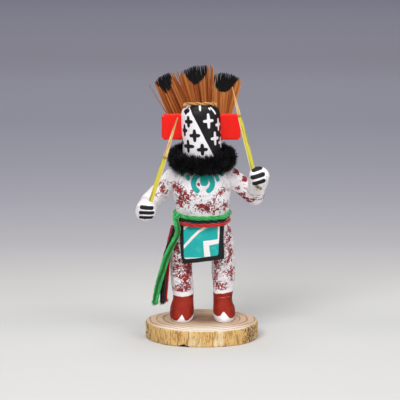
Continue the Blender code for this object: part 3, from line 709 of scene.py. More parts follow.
def smooth_between(table: Array, at: Array) -> Array:
    """Reads a table between its rows on Catmull-Rom curves.

    Args:
        table: rows of a rising first column and the values that go with it.
        at: where to read it.

    Returns:
        The values, of shape (len(at), columns - 1).
    """
    knots, values = table[:, 0], table[:, 1:]
    slopes = np.gradient(values, knots, axis=0)
    i = np.clip(np.searchsorted(knots, at, side="right") - 1, 0, len(knots) - 2)
    gap = (knots[i + 1] - knots[i])[:, None]
    t = np.clip((at[:, None] - knots[i][:, None]) / gap, 0, 1)
    return (
        (2 * t**3 - 3 * t**2 + 1) * values[i]
        + (t**3 - 2 * t**2 + t) * gap * slopes[i]
        + (3 * t**2 - 2 * t**3) * values[i + 1]
        + (t**3 - t**2) * gap * slopes[i + 1]
    )


def evened(path: Array, count: int) -> Array:
    """So many points at even distances along a path's straight stretches.

    Args:
        path: the path's points.
        count: how many to return.

    Returns:
        The points.
    """
    reach = np.concatenate([[0], np.cumsum(np.linalg.norm(np.diff(path, axis=0), axis=1))])
    marks = np.linspace(0, reach[-1], count)
    return np.stack([np.interp(marks, reach, axis) for axis in path.T], axis=1)


def length_of(path: Array) -> float:
    """How long a path is."""
    return float(np.linalg.norm(np.diff(path, axis=0), axis=1).sum())


def along(route: Array, step: float) -> Array:
    """Points at even distances on the Catmull-Rom curve through a route's own points.

    Args:
        route: the route's points, in millimetres.
        step: the distance between the points returned.

    Returns:
        The points, of shape (n, 3).
    """
    reach = np.concatenate([[0], np.cumsum(np.linalg.norm(np.diff(route, axis=0), axis=1))])
    fine = smooth_between(np.column_stack([reach, route]), np.linspace(0, reach[-1], 600))
    return evened(fine, max(8, round(length_of(fine) / step)))


def carried_frames(path: Array, closed: bool) -> tuple[Array, Array, Array]:
    """Axes that go along a path without turning about it.

    Args:
        path: the path's points.
        closed: whether its end joins its start.

    Returns:
        The unit tangent and two unit normals at each point. A closed path's normals are turned
        evenly so that the last ones meet the first.
    """
    if closed:
        tangent = np.roll(path, -1, axis=0) - np.roll(path, 1, axis=0)
    else:
        tangent = np.gradient(path, axis=0)
    tangent = unit(tangent)
    side = np.empty_like(path)
    side[0] = square_to(tangent[0])
    for i in range(1, len(path)):
        side[i] = unit(side[i - 1] - tangent[i] * (side[i - 1] @ tangent[i]))
    other = np.cross(tangent, side)
    if closed:
        end = side[-1] - tangent[0] * (side[-1] @ tangent[0])
        slip = math.atan2(end @ other[0], end @ side[0])
        turn = -slip * np.arange(len(path)) / (len(path) - 1)
        side, other = turned(side, other, turn), turned(other, -side, turn)
    return tangent, side, other


def swept(path: Array, radius: Array, sides: int, closed: bool) -> tuple[Array, Array, Array]:
    """A round tube along a path.

    Args:
        path: the points of its middle line.
        radius: its radius at each point of the line, or at each point of each ring.
        sides: points in each ring.
        closed: whether its end joins its start.

    Returns:
        The tube's points of shape (rows * sides, 3), its quads, and each point's angle.
    """
    _, side, other = carried_frames(path, closed)
    angle = full_turn(sides)
    ring = turned(side[:, None], other[:, None], angle)
    reach = radius[:, None, None] if radius.ndim == 1 else radius[..., None]
    points = (path[:, None] + ring * reach).reshape(-1, 3)
    return points, grid_faces(len(path), sides, closed=closed), np.tile(angle, len(path))


def joined(parts: Sequence[tuple[Array, Array]]) -> tuple[Array, Array]:
    """Puts several meshes' points and quads into one list each.

    Args:
        parts: each one's points and quads.

    Returns:
        All points and all quads.
    """
    starts = np.cumsum([0] + [len(points) for points, _ in parts[:-1]])
    faces = [quads + start for (_, quads), start in zip(parts, starts)]
    return np.vstack([points for points, _ in parts]), np.vstack(faces)


def melted(name: str, forms: Sequence[Form], cell: float, rounds: int) -> Mesh:
    """Melts overlapping closed forms into one skin and smooths it.

    The forms are joined, remeshed on a voxel grid, and each point is moved towards the middle
    of its neighbours, round after round.

    Args:
        name: a name for the meshes while they are made.
        forms: points and faces of each form.
        cell: the grid's cell in millimetres.
        rounds: rounds of smoothing.

    Returns:
        A mesh that the caller takes over.
    """
    mesh = bpy.data.meshes.new(name)
    points: list[list[float]] = []
    faces: list[Sequence[int]] = []
    for places, sides in forms:
        faces += [[corner + len(points) for corner in face] for face in sides]
        points += (places * MM).tolist()
    mesh.from_pydata(points, [], faces)
    thing = bpy.data.objects.new(name, mesh)
    bpy.context.scene.collection.objects.link(thing)
    remesh = thing.modifiers.new("melt", "REMESH")
    remesh.mode = "VOXEL"
    remesh.voxel_size = cell * MM
    soften = thing.modifiers.new("soften", "SMOOTH")
    soften.factor = 0.5
    soften.iterations = rounds
    graph = bpy.context.evaluated_depsgraph_get()
    made = bpy.data.meshes.new_from_object(thing.evaluated_get(graph))
    bpy.data.objects.remove(thing)
    bpy.data.meshes.remove(mesh)
    return made


def vectors_of(mesh: Mesh, key: str) -> Array:
    """A mesh's points, in metres, or its points' normals."""
    flat = np.empty(len(mesh.vertices) * 3, dtype=np.float32)
    mesh.vertices.foreach_get(key, flat)
    return flat.reshape(-1, 3).astype(float)


def whittled(mesh: Mesh, cuts: Callable[[Array], Array]) -> tuple[Array, Array]:
    """Moves a mesh's points along their normals, as a knife leaves them.

    Args:
        mesh: the mesh.
        cuts: gives how far each point moves out, in millimetres.

    Returns:
        The moved points in millimetres, and their normals.
    """
    points, normals = vectors_of(mesh, "co") / MM, vectors_of(mesh, "normal")
    points += normals * cuts(points)[:, None]
    mesh.vertices.foreach_set("co", (points * MM).astype(np.float32).ravel())
    return points, normals


def box_distance(x: Array, z: Array, centre: Spot, half: Spot, round_by: float) -> Array:
    """Signed distance to a round-cornered rectangle.

    Args:
        x: where each point is across.
        z: how high it is.
        centre: the rectangle's middle.
        half: its half width and half height.
        round_by: its corners' radius.

    Returns:
        The distance at each point.
    """
    qx = np.abs(x - centre[0]) - half[0] + round_by
    qz = np.abs(z - centre[1]) - half[1] + round_by
    outside = np.hypot(np.maximum(qx, 0), np.maximum(qz, 0))
    return outside + np.minimum(np.maximum(qx, qz), 0) - round_by


def line_distance(x: Array, z: Array, line: Sequence[Spot], half: float) -> Array:
    """Signed distance to a stroke of even width through the given points.

    Args:
        x: where each point is across.
        z: how high it is.
        line: the stroke's points.
        half: half its width.

    Returns:
        The distance at each point.
    """
    best = np.full(x.shape, 1e3)
    for (ax, az), (bx, bz) in zip(line, line[1:]):
        wx, wz = bx - ax, bz - az
        share = np.clip(((x - ax) * wx + (z - az) * wz) / (wx * wx + wz * wz), 0, 1)
        best = np.minimum(best, np.hypot(x - ax - share * wx, z - az - share * wz))
    return best - half


def shape_distance(x: Array, z: Array, corners: Sequence[Spot]) -> Array:
    """Signed distance to a closed straight-sided shape, by the even-odd rule.

    Args:
        x: where each point is across.
        z: how high it is.
        corners: the shape's corners, in order.

    Returns:
        The distance at each point.
    """
    rim = [*corners, corners[0]]
    inside = np.zeros(x.shape, dtype=bool)
    for (ax, az), (bx, bz) in zip(rim, rim[1:]):
        if az != bz:
            inside ^= ((az > z) != (bz > z)) & (x < ax + (z - az) / (bz - az) * (bx - ax))
    return np.where(inside, -1, 1) * line_distance(x, z, rim, 0.0)


def bells(x: Array, z: Array, dabs: Sequence[tuple[float, ...]]) -> Array:
    """How thickly paint is dabbed: a sum of bells.

    Args:
        x: where each point is across the doll.
        z: how high it is.
        dabs: rows of middle across, middle height, half width, half height, tilt in degrees
            and weight.

    Returns:
        The load of paint at each point.
    """
    load = np.zeros(len(x))
    for mx, mz, wide, tall, tilt, weight in dabs:
        turn = math.radians(tilt)
        u = (x - mx) * math.cos(turn) + (z - mz) * math.sin(turn)
        v = -(x - mx) * math.sin(turn) + (z - mz) * math.cos(turn)
        load += weight * np.exp(-((u / wide) ** 2) - (v / tall) ** 2)
    return load


def ripple(points: Array, wave: float, seed: int) -> Array:
    """Slow unevenness of a hand-cut form: a few sine waves in seeded directions, about -1 to 1.

    Args:
        points: where it is read.
        wave: the usual length of a wave.
        seed: that of the waves' directions.

    Returns:
        The unevenness at each point.
    """
    chance = np.random.default_rng(seed)
    ways = unit(chance.normal(size=(7, 3)))
    phases = chance.uniform(0, 2 * math.pi, 7)
    lengths = wave * chance.uniform(0.7, 1.6, 7)
    return np.sin(points @ ways.T * 2 * math.pi / lengths + phases).sum(axis=1) / 4


@dataclass
class Carving:
    """The trunk with its legs and boots, and the case mask, all of one piece of wood.

    Level sections are (height above the soles, middle, half width, front depth, back depth).
    A sole is a line of (across, height) where its red begins, and a boot's top has rows of
    (across, height where the red ends, height where the cuff ends).
    """

    trunk: tuple[tuple[float, ...], ...] = (
        (30.0, 0.1, 12.9, 7.0, 7.4), (31.8, 0.15, 13.75, 8.5, 8.8),
        (34.7, 0.0, 13.5, 9.0, 9.0), (37.8, -0.3, 12.8, 9.0, 8.8),
        (41.7, -0.2, 11.7, 8.6, 8.4), (44.7, 0.1, 11.4, 8.2, 8.2),
        (47.4, 0.2, 11.3, 8.0, 8.2), (51.3, 0.15, 11.8, 8.4, 8.6),
        (55.6, -0.2, 12.6, 8.9, 9.1), (58.2, -0.2, 12.8, 9.0, 9.2),
        (60.8, 0.0, 12.2, 8.6, 9.0), (62.8, 0.0, 10.9, 7.9, 8.5),
        (64.2, 0.1, 9.0, 7.2, 7.6),
    )
    left_leg: tuple[tuple[float, ...], ...] = (
        (-0.25, -8.7, 4.7, 10.7, 5.2), (1.5, -8.75, 5.25, 11.0, 5.7),
        (3.2, -8.7, 5.15, 9.9, 5.6), (4.7, -8.6, 5.05, 8.2, 5.3),
        (6.0, -8.4, 4.8, 6.6, 5.1), (7.6, -8.15, 4.5, 5.3, 4.9),
        (9.2, -8.1, 4.45, 4.8, 4.8), (12.5, -8.3, 4.7, 4.8, 5.1),
        (18.5, -8.9, 4.7, 5.1, 5.7), (24.0, -9.0, 4.7, 5.4, 5.6),
        (29.0, -8.8, 4.9, 6.2, 6.2), (35.0, -7.8, 5.3, 6.8, 7.0),
    )
    right_leg: tuple[tuple[float, ...], ...] = (
        (-0.25, 9.45, 4.3, 10.7, 5.2), (1.5, 9.55, 4.75, 11.0, 5.6),
        (3.2, 9.5, 4.7, 9.9, 5.5), (4.7, 9.4, 4.6, 8.2, 5.2),
        (6.0, 9.05, 4.25, 6.5, 5.0), (8.4, 8.85, 4.0, 5.0, 4.8),
        (11.9, 9.05, 4.3, 4.8, 5.0), (14.5, 9.2, 4.55, 4.9, 5.3),
        (18.5, 9.2, 4.95, 5.2, 5.7), (24.0, 9.1, 5.0, 5.4, 5.6),
        (29.0, 8.9, 5.0, 6.2, 6.2), (35.0, 7.9, 5.4, 6.8, 7.0),
    )
    roundness: float = 2.3
    cell: float = 0.3
    rounds: int = 10
    head_foot: float = 58.0
    neck_cut: float = 2.0
    neck_ends: float = 67.5
    dome_shoulder: float = 86.5
    dome_round: float = 2.85
    head_lean: float = -3.0
    head_pivot: float = 75.0
    left_sole: tuple[Spot, ...] = (
        (-14.4, 8.1), (-12.9, 7.9), (-11.8, 7.7), (-10.7, 7.8), (-9.6, 9.1), (-8.6, 10.4),
        (-7.7, 9.0), (-7.3, 7.9), (-6.2, 7.85), (-5.0, 8.5), (-3.6, 9.4),
    )
    right_sole: tuple[Spot, ...] = (
        (4.8, 9.5), (6.0, 9.55), (6.9, 9.45), (7.9, 9.9), (8.6, 10.9), (9.3, 11.4),
        (10.4, 10.3), (11.7, 8.85), (12.8, 8.6), (14.4, 8.6),
    )
    # Ends of a pale pink line across the right boot's top.
    pale_boot_line: tuple[Spot, Spot] = ((7.3, 16.5), (11.9, 16.95))
    boot_middles: tuple[Spot, Spot] = ((-8.6, 5.0), (9.3, 4.8))
    heel_line: float = 8.3
    front_dabs: tuple[tuple[float, ...], ...] = (
        (-11.8, 65.0, 3.2, 1.6, 25, 1.0), (-7.2, 60.7, 3.1, 3.1, 0, 1.15),
        (2.2, 56.9, 5.2, 2.3, 8, 1.2), (7.5, 62.6, 3.4, 1.5, 40, 1.1),
        (-2.2, 61.5, 2.0, 1.2, 20, 0.75), (-9.9, 57.4, 1.6, 2.6, 0, 0.95),
        (9.6, 56.6, 2.2, 2.0, 20, 1.0), (-9.8, 63.7, 2.2, 2.0, 0, 0.8),
        (5.0, 54.4, 3.5, 1.2, 6, 0.7), (10.6, 41.5, 2.0, 3.4, 0, 1.15),
        (12.0, 46.0, 1.6, 2.4, 0, 0.9), (-11.4, 39.4, 2.2, 4.2, 0, 1.15),
        (-11.8, 45.0, 1.5, 2.6, 0, 0.9), (-9.6, 33.0, 2.4, 2.6, 0, 0.9),
        (-6.4, 30.6, 2.6, 2.6, 30, 1.2), (-10.4, 26.6, 2.6, 1.8, 0, 0.85),
        (-7.2, 24.6, 1.6, 3.6, 0, 1.1), (-11.6, 30.0, 1.6, 2.4, 0, 0.8),
        (-8.6, 20.5, 4.4, 1.8, 0, 1.25), (-5.4, 27.5, 1.5, 3.0, 0, 0.9),
        (6.6, 31.4, 1.8, 3.2, 0, 1.3), (10.6, 33.6, 2.4, 1.8, 30, 1.1),
        (12.6, 28.2, 1.6, 3.2, 0, 1.15), (6.0, 25.0, 1.5, 3.6, 0, 1.15),
        (8.4, 21.6, 2.6, 2.0, -30, 1.1), (10.4, 27.6, 2.2, 1.3, -20, 0.9),
        (12.2, 36.8, 1.6, 2.0, 0, 1.0), (8.6, 19.4, 1.2, 1.4, 0, 1.1), (-1.5, 66.5, 0.5, 0.6, 0, 3.0),
    )
    left_tops: tuple[Point, ...] = (
        (-12.35, 17.34, 19.15), (-8.05, 17.1, 18.9), (-3.5, 17.73, 19.39),
    )
    right_tops: tuple[Point, ...] = (
        (4.9, 18.22, 19.68), (9.1, 18.42, 19.78), (13.2, 19.05, 20.36),
    )

    def ring(self, sections: Array, sides: int) -> Array:
        """Level outlines: superellipses whose front and back depths differ.

        Args:
            sections: a row for each level.
            sides: points in each outline.

        Returns:
            The points, of shape (levels, sides, 3).
        """
        angle, power = full_turn(sides), 2 / self.roundness
        across = np.sign(np.cos(angle)) * np.abs(np.cos(angle)) ** power
        deep = np.sign(np.sin(angle)) * np.abs(np.sin(angle)) ** power
        height, middle, half, front, back = (sections[:, i, None] for i in range(5))
        x = middle + half * across[None]
        y = AXIS_Y + np.where(deep[None] < 0, front, back) * deep[None]
        return np.stack([x, y, np.broadcast_to(SOLE_Z + height, x.shape)], axis=-1)

    def form(self, table: tuple[tuple[float, ...], ...], sides: int = 96) -> Form:
        """A closed skin through the sections, read smoothly between them.

        Args:
            table: the sections.
            sides: points in each outline.

        Returns:
            Its points and faces.
        """
        rows = np.array(table)
        at = np.linspace(rows[0, 0], rows[-1, 0], round((rows[-1, 0] - rows[0, 0]) / 0.5) + 1)
        sections = np.column_stack([at, smooth_between(rows, at)])
        return capped(self.ring(sections, sides).reshape(-1, 3), len(at), sides)

    def dabs(self, points: Array) -> Array:
        """How thickly the sponge was dabbed: listed dabs in front, waves on the hidden sides.

        Args:
            points: the carving's points.

        Returns:
            The load of paint at each point.
        """
        load = bells(points[:, 0], points[:, 2], self.front_dabs)
        behind = np.clip((points[:, 1] - AXIS_Y - 1.0) / 3.0, 0, 1)
        waves = 0.45 + 0.6 * ripple(points, 9.0, 5)
        return np.clip(load * (1 - behind) + waves * behind, 0, 1.25)

    @staticmethod
    def by_boot(x: Array, left: Sequence, right: Sequence, column: int = 1) -> Array:
        """Reads the left or the right boot's table at points across it."""
        sides = (np.interp(x, *np.array(rows)[:, (0, column)].T) for rows in (left, right))
        return np.where(x < 0, *sides)

    def boots(self, points: Array) -> tuple[Array, Array, Array]:
        """The red of the boots above their white soles, the white cuff, and the painted shade on the red.

        Args:
            points: the carving's points.

        Returns:
            Signed distance of the red, the same of the white cuff, and how dark the red is.
        """
        x, y, z = points.T
        back = np.clip((y - AXIS_Y) / 3.0, 0, 1)
        line = self.by_boot(x, self.left_sole, self.right_sole)
        line = line * (1 - back) + self.heel_line * back
        top, upper = (self.by_boot(x, self.left_tops, self.right_tops, i) for i in (1, 2))
        ragged = 0.16 * ripple(points, 2.4, 11)
        red = np.maximum((line - z) * 0.75, z - top + ragged)
        cuff = np.maximum(np.maximum(top - 0.4 - z, z - upper + ragged), 15 - z)
        sole = np.where(z < line + 0.3, -1.0, 1.0)
        white = np.minimum(cuff, np.maximum(sole, z - 12.5))
        # Painted shade on the boots: darker towards each boot's sides and towards its top.
        (left, left_half), (right, right_half) = self.boot_middles
        middle = np.where(x < 0, np.abs(x - left) / left_half, np.abs(x - right) / right_half)
        shade = np.clip(0.2 + 0.75 * middle**2 + 0.4 * np.clip((z - 15.0) / 2.2, 0, 1), 0, 1.2)
        return red, white, shade

    def head_place(self) -> Array:
        """The matrix that stands the mask: it leans sideways about a point in the ruff."""
        pivot = Matrix.Translation((0, 0, self.head_pivot))
        lean = pivot @ Matrix.Rotation(math.radians(self.head_lean), 4, "Y") @ pivot.inverted()
        return np.array(Matrix.Translation((0, AXIS_Y, SOLE_Z)) @ lean)

    def build(self, finish: BodyPaint) -> list[Piece]:
        """Makes the body and the mask.

        Args:
            finish: the paint of the doll.

        Returns:
            Both pieces.
        """
        forms = [self.form(self.trunk), self.form(self.left_leg), self.form(self.right_leg)]
        mesh = melted("carved_body", forms, self.cell, self.rounds)
        points, normals = whittled(mesh, self.knife)
        red, white, shade = self.boots(points)
        x, y, z = points.T
        bare = z < self.by_boot(x, self.left_tops, self.right_tops, 2) + 0.1
        dab = np.where(bare, -3.0, self.dabs(points))
        legs = np.clip((42.0 - z) / 4.0, 0, 1)
        right_leg = np.where((x > 5) & (z < 42), 0.88, 1.0)
        pale_boot_line = line_distance(x, z, self.pale_boot_line, 0.1)
        fields = {
            "dab": dab * (1 - 0.18 * legs) * right_leg,
            "worm": np.where(bare, -3.0, np.clip(dab * legs, 0, 1)),
            "pale_boot_line": np.where(y < AXIS_Y, pale_boot_line, FAR),
            "necklace": np.where(normals[:, 1] < 0.1, Necklace().distance(x, z), FAR),
            "boot": red,
            "cuff": white,
            "boot_painted_shade": shade,
        }
        pieces = [dressed("carved_body", mesh, finish.body(), fields), self.mask(finish)]
        return [stand_in(piece, "figure") for piece in pieces]

    @staticmethod
    def knife(points: Array) -> Array:
        """The unevenness that a knife leaves, which fades out on the soles."""
        cuts = 0.09 * ripple(points, 6.0, 3) + 0.04 * ripple(points, 2.6, 4)
        return cuts * np.clip((points[:, 2] - 8.0) / 2.0, 0, 1)

    def mask(self, finish: BodyPaint) -> Piece:
        """The case mask: a cylinder with a flattened dome, as a surface of angle and height.

        Args:
            finish: the paint of the doll.

        Returns:
            The piece.
        """
        around, shoulder, power = 320, self.dome_shoulder, 2 / self.dome_round
        lift = np.linspace(0, math.pi / 2, 60)
        dome = HEAD_RADIUS * np.cos(lift) ** power
        rise = shoulder + (FIGURE_TALL - shoulder) * np.sin(lift) ** power
        wall = np.linspace(self.head_foot, shoulder, 130)[:-1]
        neck = HEAD_RADIUS - self.neck_cut * np.clip((self.neck_ends - wall) / 2.5, 0, 1)
        profile = np.vstack([np.column_stack([neck, wall]), np.column_stack([dome, rise])[:-1]])
        profile = np.vstack([evened(profile, 190), [[0.6, FIGURE_TALL - 0.002]]])
        rows, angle = len(profile), full_turn(around)
        radius, height = profile[:, :1], np.broadcast_to(profile[:, 1:], (rows, around))
        flat = np.stack([radius * np.sin(angle), -radius * np.cos(angle), height], axis=-1)
        flat = flat.reshape(-1, 3)
        from_front = HEAD_RADIUS * np.where(angle > math.pi, angle - 2 * math.pi, angle)
        white = Mask().white(np.tile(from_front, rows), flat[:, 2])
        flat[:, :2] *= 1 + 0.006 * ripple(flat, 7.0, 9)[:, None]
        points, faces = capped(flat, rows, around)
        white = np.concatenate([white, [0.0, white[-around:].mean()]])
        place = self.head_place()
        points = points @ place[:3, :3].T + place[:3, 3]
        return make_piece("case_mask", points, faces, finish.mask(), {"white": white})


@dataclass(frozen=True)
class Necklace:
    """A painted crescent with a drop between its horns, and beads up to the shoulders.

    A bead is (one end, other end, half width).
    """

    heart: Spot = (0.36, 66.9)
    radius: float = 3.9
    half: float = 1.08
    squash: float = 1.03
    mouth: float = 142.0
    drop: tuple[Spot, Spot, float] = ((0.88, 68.6), (1.75, 2.8), 1.6)
    bail: tuple[Spot, Spot, float] = ((0.6, 71.4), (3.3, 1.6), 0.6)
    beads: tuple[tuple[Spot, Spot, float], ...] = (
        ((-6.1, 69.6), (-5.9, 68.7), 0.8), ((6.1, 69.8), (6.7, 68.3), 0.8),
        ((8.0, 71.0), (8.5, 70.2), 0.75), ((9.5, 72.2), (10.0, 71.6), 0.7),
        ((-8.0, 71.0), (-8.4, 70.2), 0.75), ((-9.7, 72.2), (-10.1, 71.4), 0.7),
    )

    def distance(self, x: Array, z: Array) -> Array:
        """Signed distance to all of its paint, as seen from in front.

        Args:
            x: where each point is across the doll.
            z: how high it is.

        Returns:
            The distance at each point.
        """
        rx, rz = x - self.heart[0], z - self.heart[1]
        mouth = math.radians(self.mouth)
        off = np.abs(np.hypot(rx / self.squash, rz) - self.radius)
        arc = np.where(np.abs(np.arctan2(rx, rz)) < mouth, off, FAR)
        for side in (-1, 1):
            horn = (side * self.radius * math.sin(mouth), self.radius * math.cos(mouth))
            arc = np.minimum(arc, np.hypot(rx - horn[0], rz - horn[1]))
        found = [arc - self.half]
        found += [box_distance(x, z, *box) for box in (self.drop, self.bail)]
        found += [line_distance(x, z, (start, end), half) for start, end, half in self.beads]
        return np.min(found, axis=0)


@dataclass(frozen=True)
class Mask:
    """The mask's pattern, unrolled: distance round from the front, and height above the soles.

    A cross is (middle round, middle height, half width, half height).
    """

    dark_crosses: tuple[tuple[float, float, float, float], ...] = (
        (-5.7, 86.1, 2.45, 2.8), (-3.0, 80.2, 2.75, 3.0), (-6.5, 75.6, 3.4, 3.1),
        (0.05, 74.15, 2.65, 2.8), (-8.35, 82.3, 2.1, 2.9), (-7.3, 90.5, 2.2, 1.8),
        (-11.6, 76.8, 2.3, 2.9), (-13.6, 86.6, 2.4, 2.9), (-15.2, 80.0, 2.5, 2.9),
        (-17.4, 74.0, 2.4, 2.7), (-18.8, 85.8, 2.4, 2.9), (-20.9, 79.2, 2.4, 2.9),
        (-23.2, 73.6, 2.2, 2.6), (-24.0, 86.0, 2.2, 2.8),
    )
    pale_crosses: tuple[tuple[float, float, float, float], ...] = (
        (3.4, 86.1, 2.7, 3.45), (8.85, 84.0, 2.3, 3.0), (6.2, 78.4, 2.5, 3.2),
        (10.4, 76.2, 2.4, 2.6), (13.2, 80.4, 2.4, 3.0),
        (14.4, 88.2, 2.2, 2.6), (15.6, 74.2, 2.4, 2.8), (18.4, 83.4, 2.4, 3.0),
        (20.6, 76.6, 2.4, 2.9), (23.4, 85.6, 2.3, 2.9), (25.6, 78.8, 2.0, 2.8),
    )
    heights: tuple[float, ...] = (58.0, 72.9, 77.65, 83.0, 88.0, 90.7, 92.0, 93.0)
    bounds: tuple[float, ...] = (10.9, 4.1, 1.8, -0.5, -2.85, -4.5, -6.6, -8.6)
    half_round: float = 26.4
    dark_arm: float = 0.84
    pale_arm: float = 0.7
    strokes: tuple[tuple[tuple[Spot, Spot], float], ...] = (
        (((6.1, 91.2), (7.3, 88.9)), 0.5), (((4.8, 91.2), (4.9, 90.9)), 0.4),
    )
    wedge: tuple[Spot, ...] = ((-0.9, 93.0), (0.7, 93.0), (0.4, 91.0), (0.0, 90.2), (-0.5, 91.0))

    @staticmethod
    def cross(s: Array, z: Array, one: tuple[float, float, float, float], arm: float) -> Array:
        """Signed distance to two crossed strokes whose ends are round and slimmer.

        Args:
            s: distance round the mask from the middle of its front.
            z: height above the soles.
            one: the cross.
            arm: half the width of its strokes.

        Returns:
            The distance at each point.
        """
        ms, mz, wide, tall = one
        slim_s = 0.4 * arm * np.clip(np.abs(s - ms) / wide, 0, 1) ** 2
        slim_z = 0.4 * arm * np.clip(np.abs(z - mz) / tall, 0, 1) ** 2
        level = box_distance(s, z, (ms, mz), (wide, arm), arm) + slim_s
        upright = box_distance(s, z, (ms, mz), (arm, tall), arm) + slim_z
        return np.minimum(level, upright)

    def white(self, s: Array, z: Array) -> Array:
        """Signed distance to all that is white.

        The left half is white without its dark crosses, the other half dark with pale crosses.

        Args:
            s: distance round the mask from the middle of its front.
            z: height above the soles.

        Returns:
            The distance at each point.
        """
        bound = np.interp(z, self.heights, self.bounds)
        side = np.maximum((s - bound) * 0.9, (bound - self.half_round - s) * 0.9)
        dark = np.min([self.cross(s, z, one, self.dark_arm) for one in self.dark_crosses], axis=0)
        pale = [self.cross(s, z, one, self.pale_arm) for one in self.pale_crosses]
        pale += [line_distance(s, z, stroke, half) for stroke, half in self.strokes]
        pale = np.min([*pale, shape_distance(s, z, self.wedge)], axis=0)
        return np.minimum(np.maximum(side, -dark), np.maximum(pale, -side))


@dataclass
class Arm:
    """An upper arm and a forearm that ends in a fist, melted together at the elbow.

    A stripe is (one end, other end, half width) and a wrist line (distance from the elbow, half
    width). The seed is that of the knife's marks.
    """

    side: Side
    seed: int
    shoulder: Point
    elbow: Point
    fist_end: Point
    stripes: tuple[tuple[Spot, Spot, float], ...]
    wrist_lines: tuple[Spot, ...]
    dabs: tuple[tuple[float, ...], ...]
    olive_patch: tuple[Spot, ...] = ()
    upper_radius: float = 4.05
    middle_radius: float = 3.95
    elbow_radius: float = 4.2
    wrist_radius: float = 3.85
    fist_radius: float = 4.3
    wrist_share: float = 0.42
    fist_cap: float = 2.6
    cell: float = 0.22
    rounds: int = 6

    @staticmethod
    def limb(start: Array, end: Array, stations: Array, near: float, far: float) -> Form:
        """A turned limb: radii along a line, read smoothly, closed by half ellipses.

        Args:
            start: where its line starts.
            end: a point that the line runs towards.
            stations: rows of distance along the line and radius.
            near: how far the first end stands out.
            far: how far the last end stands out.

        Returns:
            Its points and faces.
        """
        way = unit(end - start)
        lift = np.linspace(0, math.pi / 2, 16)
        (first, blunt), (last, tip) = stations[0], stations[-1]
        reach = np.linspace(first, last, 50)
        radius = smooth_between(stations, reach)[:, 0]
        reach = np.concatenate([first - near * np.cos(lift)[:-1], reach, last + far * np.sin(lift)[1:]])
        radius = np.concatenate([blunt * np.sin(lift)[:-1], radius, tip * np.cos(lift)[1:]])
        path = start + way * reach[:, None]
        side = -square_to(way)
        ring = turned(side, np.cross(way, side), full_turn(64))
        points = path[:, None] + ring[None] * np.maximum(radius, 0.02)[:, None, None]
        return capped(points.reshape(-1, 3), len(path), 64)

    def build(self, finish: BodyPaint) -> Piece:
        """Makes the arm with its painted fingers.

        Args:
            finish: the paint of the doll.

        Returns:
            The piece.
        """
        ends = (self.shoulder, self.elbow, self.fist_end)
        shoulder, elbow, fist = (np.array(place) + STAND for place in ends)
        name, upper = f"arm_{self.side.value}", float(np.linalg.norm(elbow - shoulder))
        fore = float(np.linalg.norm(fist - elbow)) - self.fist_cap
        upper_stations = (
            (0.0, self.upper_radius),
            (upper / 2, self.middle_radius),
            (upper, self.elbow_radius),
        )
        fore_stations = (
            (0.0, self.elbow_radius),
            (self.wrist_share * fore, self.wrist_radius),
            (fore - self.fist_radius, self.fist_radius + 0.05),
            (fore, self.fist_radius),
        )
        limbs = (
            (shoulder, elbow, np.array(upper_stations), self.upper_radius, self.elbow_radius),
            (elbow, fist, np.array(fore_stations), self.elbow_radius, self.fist_cap),
        )
        mesh = melted(f"{name}_carved", [self.limb(*limb) for limb in limbs], self.cell, self.rounds)
        points, normals = whittled(mesh, lambda found: 0.07 * ripple(found, 5.0, self.seed))
        way = unit(fist - elbow)
        reach = (points - elbow) @ way
        off = np.linalg.norm(points - (elbow + way * reach[:, None]), axis=1)
        fields = self.painted(points, normals, fore, reach, off)
        piece = dressed(f"{name}_carved", mesh, finish.arm(), fields)
        return stand_in(piece, name)

    def painted(
        self, points: Array, normals: Array, fore: float, reach: Array, off: Array
    ) -> dict[str, Array]:
        """The fields that its paint reads.

        Args:
            points: its points.
            normals: their normals.
            fore: how long the forearm is up to the fist's end.
            reach: how far along the forearm each point is.
            off: how far from the forearm's line each point is.

        Returns:
            Signed distances of stripes, olive patch and lines, and the load of the sponge.
        """
        x, z = points[:, 0], points[:, 2]
        facing = (normals[:, 1] < 0.25) & (reach > fore - 2.2 * self.fist_radius)
        stripe = np.min([line_distance(x, z, (a, b), half) for a, b, half in self.stripes], axis=0)
        olive_patch = line_distance(x, z, self.olive_patch, 0.7) if self.olive_patch else np.full(len(x), FAR)
        waver = 0.5 * ripple(points, 9.0, 31)
        lines = np.min([np.abs(reach - at - waver) - half for at, half in self.wrist_lines], axis=0)
        behind = np.clip((normals[:, 1] - 0.2) / 0.4, 0, 1)
        load = bells(x, z, self.dabs) * (1 - behind)
        load += behind * (0.35 + 0.6 * ripple(points, 8.0, 8))
        calm = np.clip((fore - 2.4 * self.fist_radius - reach) / 2.0, 0, 1)
        on_fist = (reach > 0) & (off < self.fist_radius + 0.6)
        return {
            "stripe": np.where(facing, stripe, FAR),
            "olive_patch": np.where(facing, olive_patch, FAR),
            "line": np.where(off < self.fist_radius + 1.2, lines, FAR),
            "dab": np.clip(1.45 * np.where(on_fist, load * calm, load), 0, 1.6),
        }


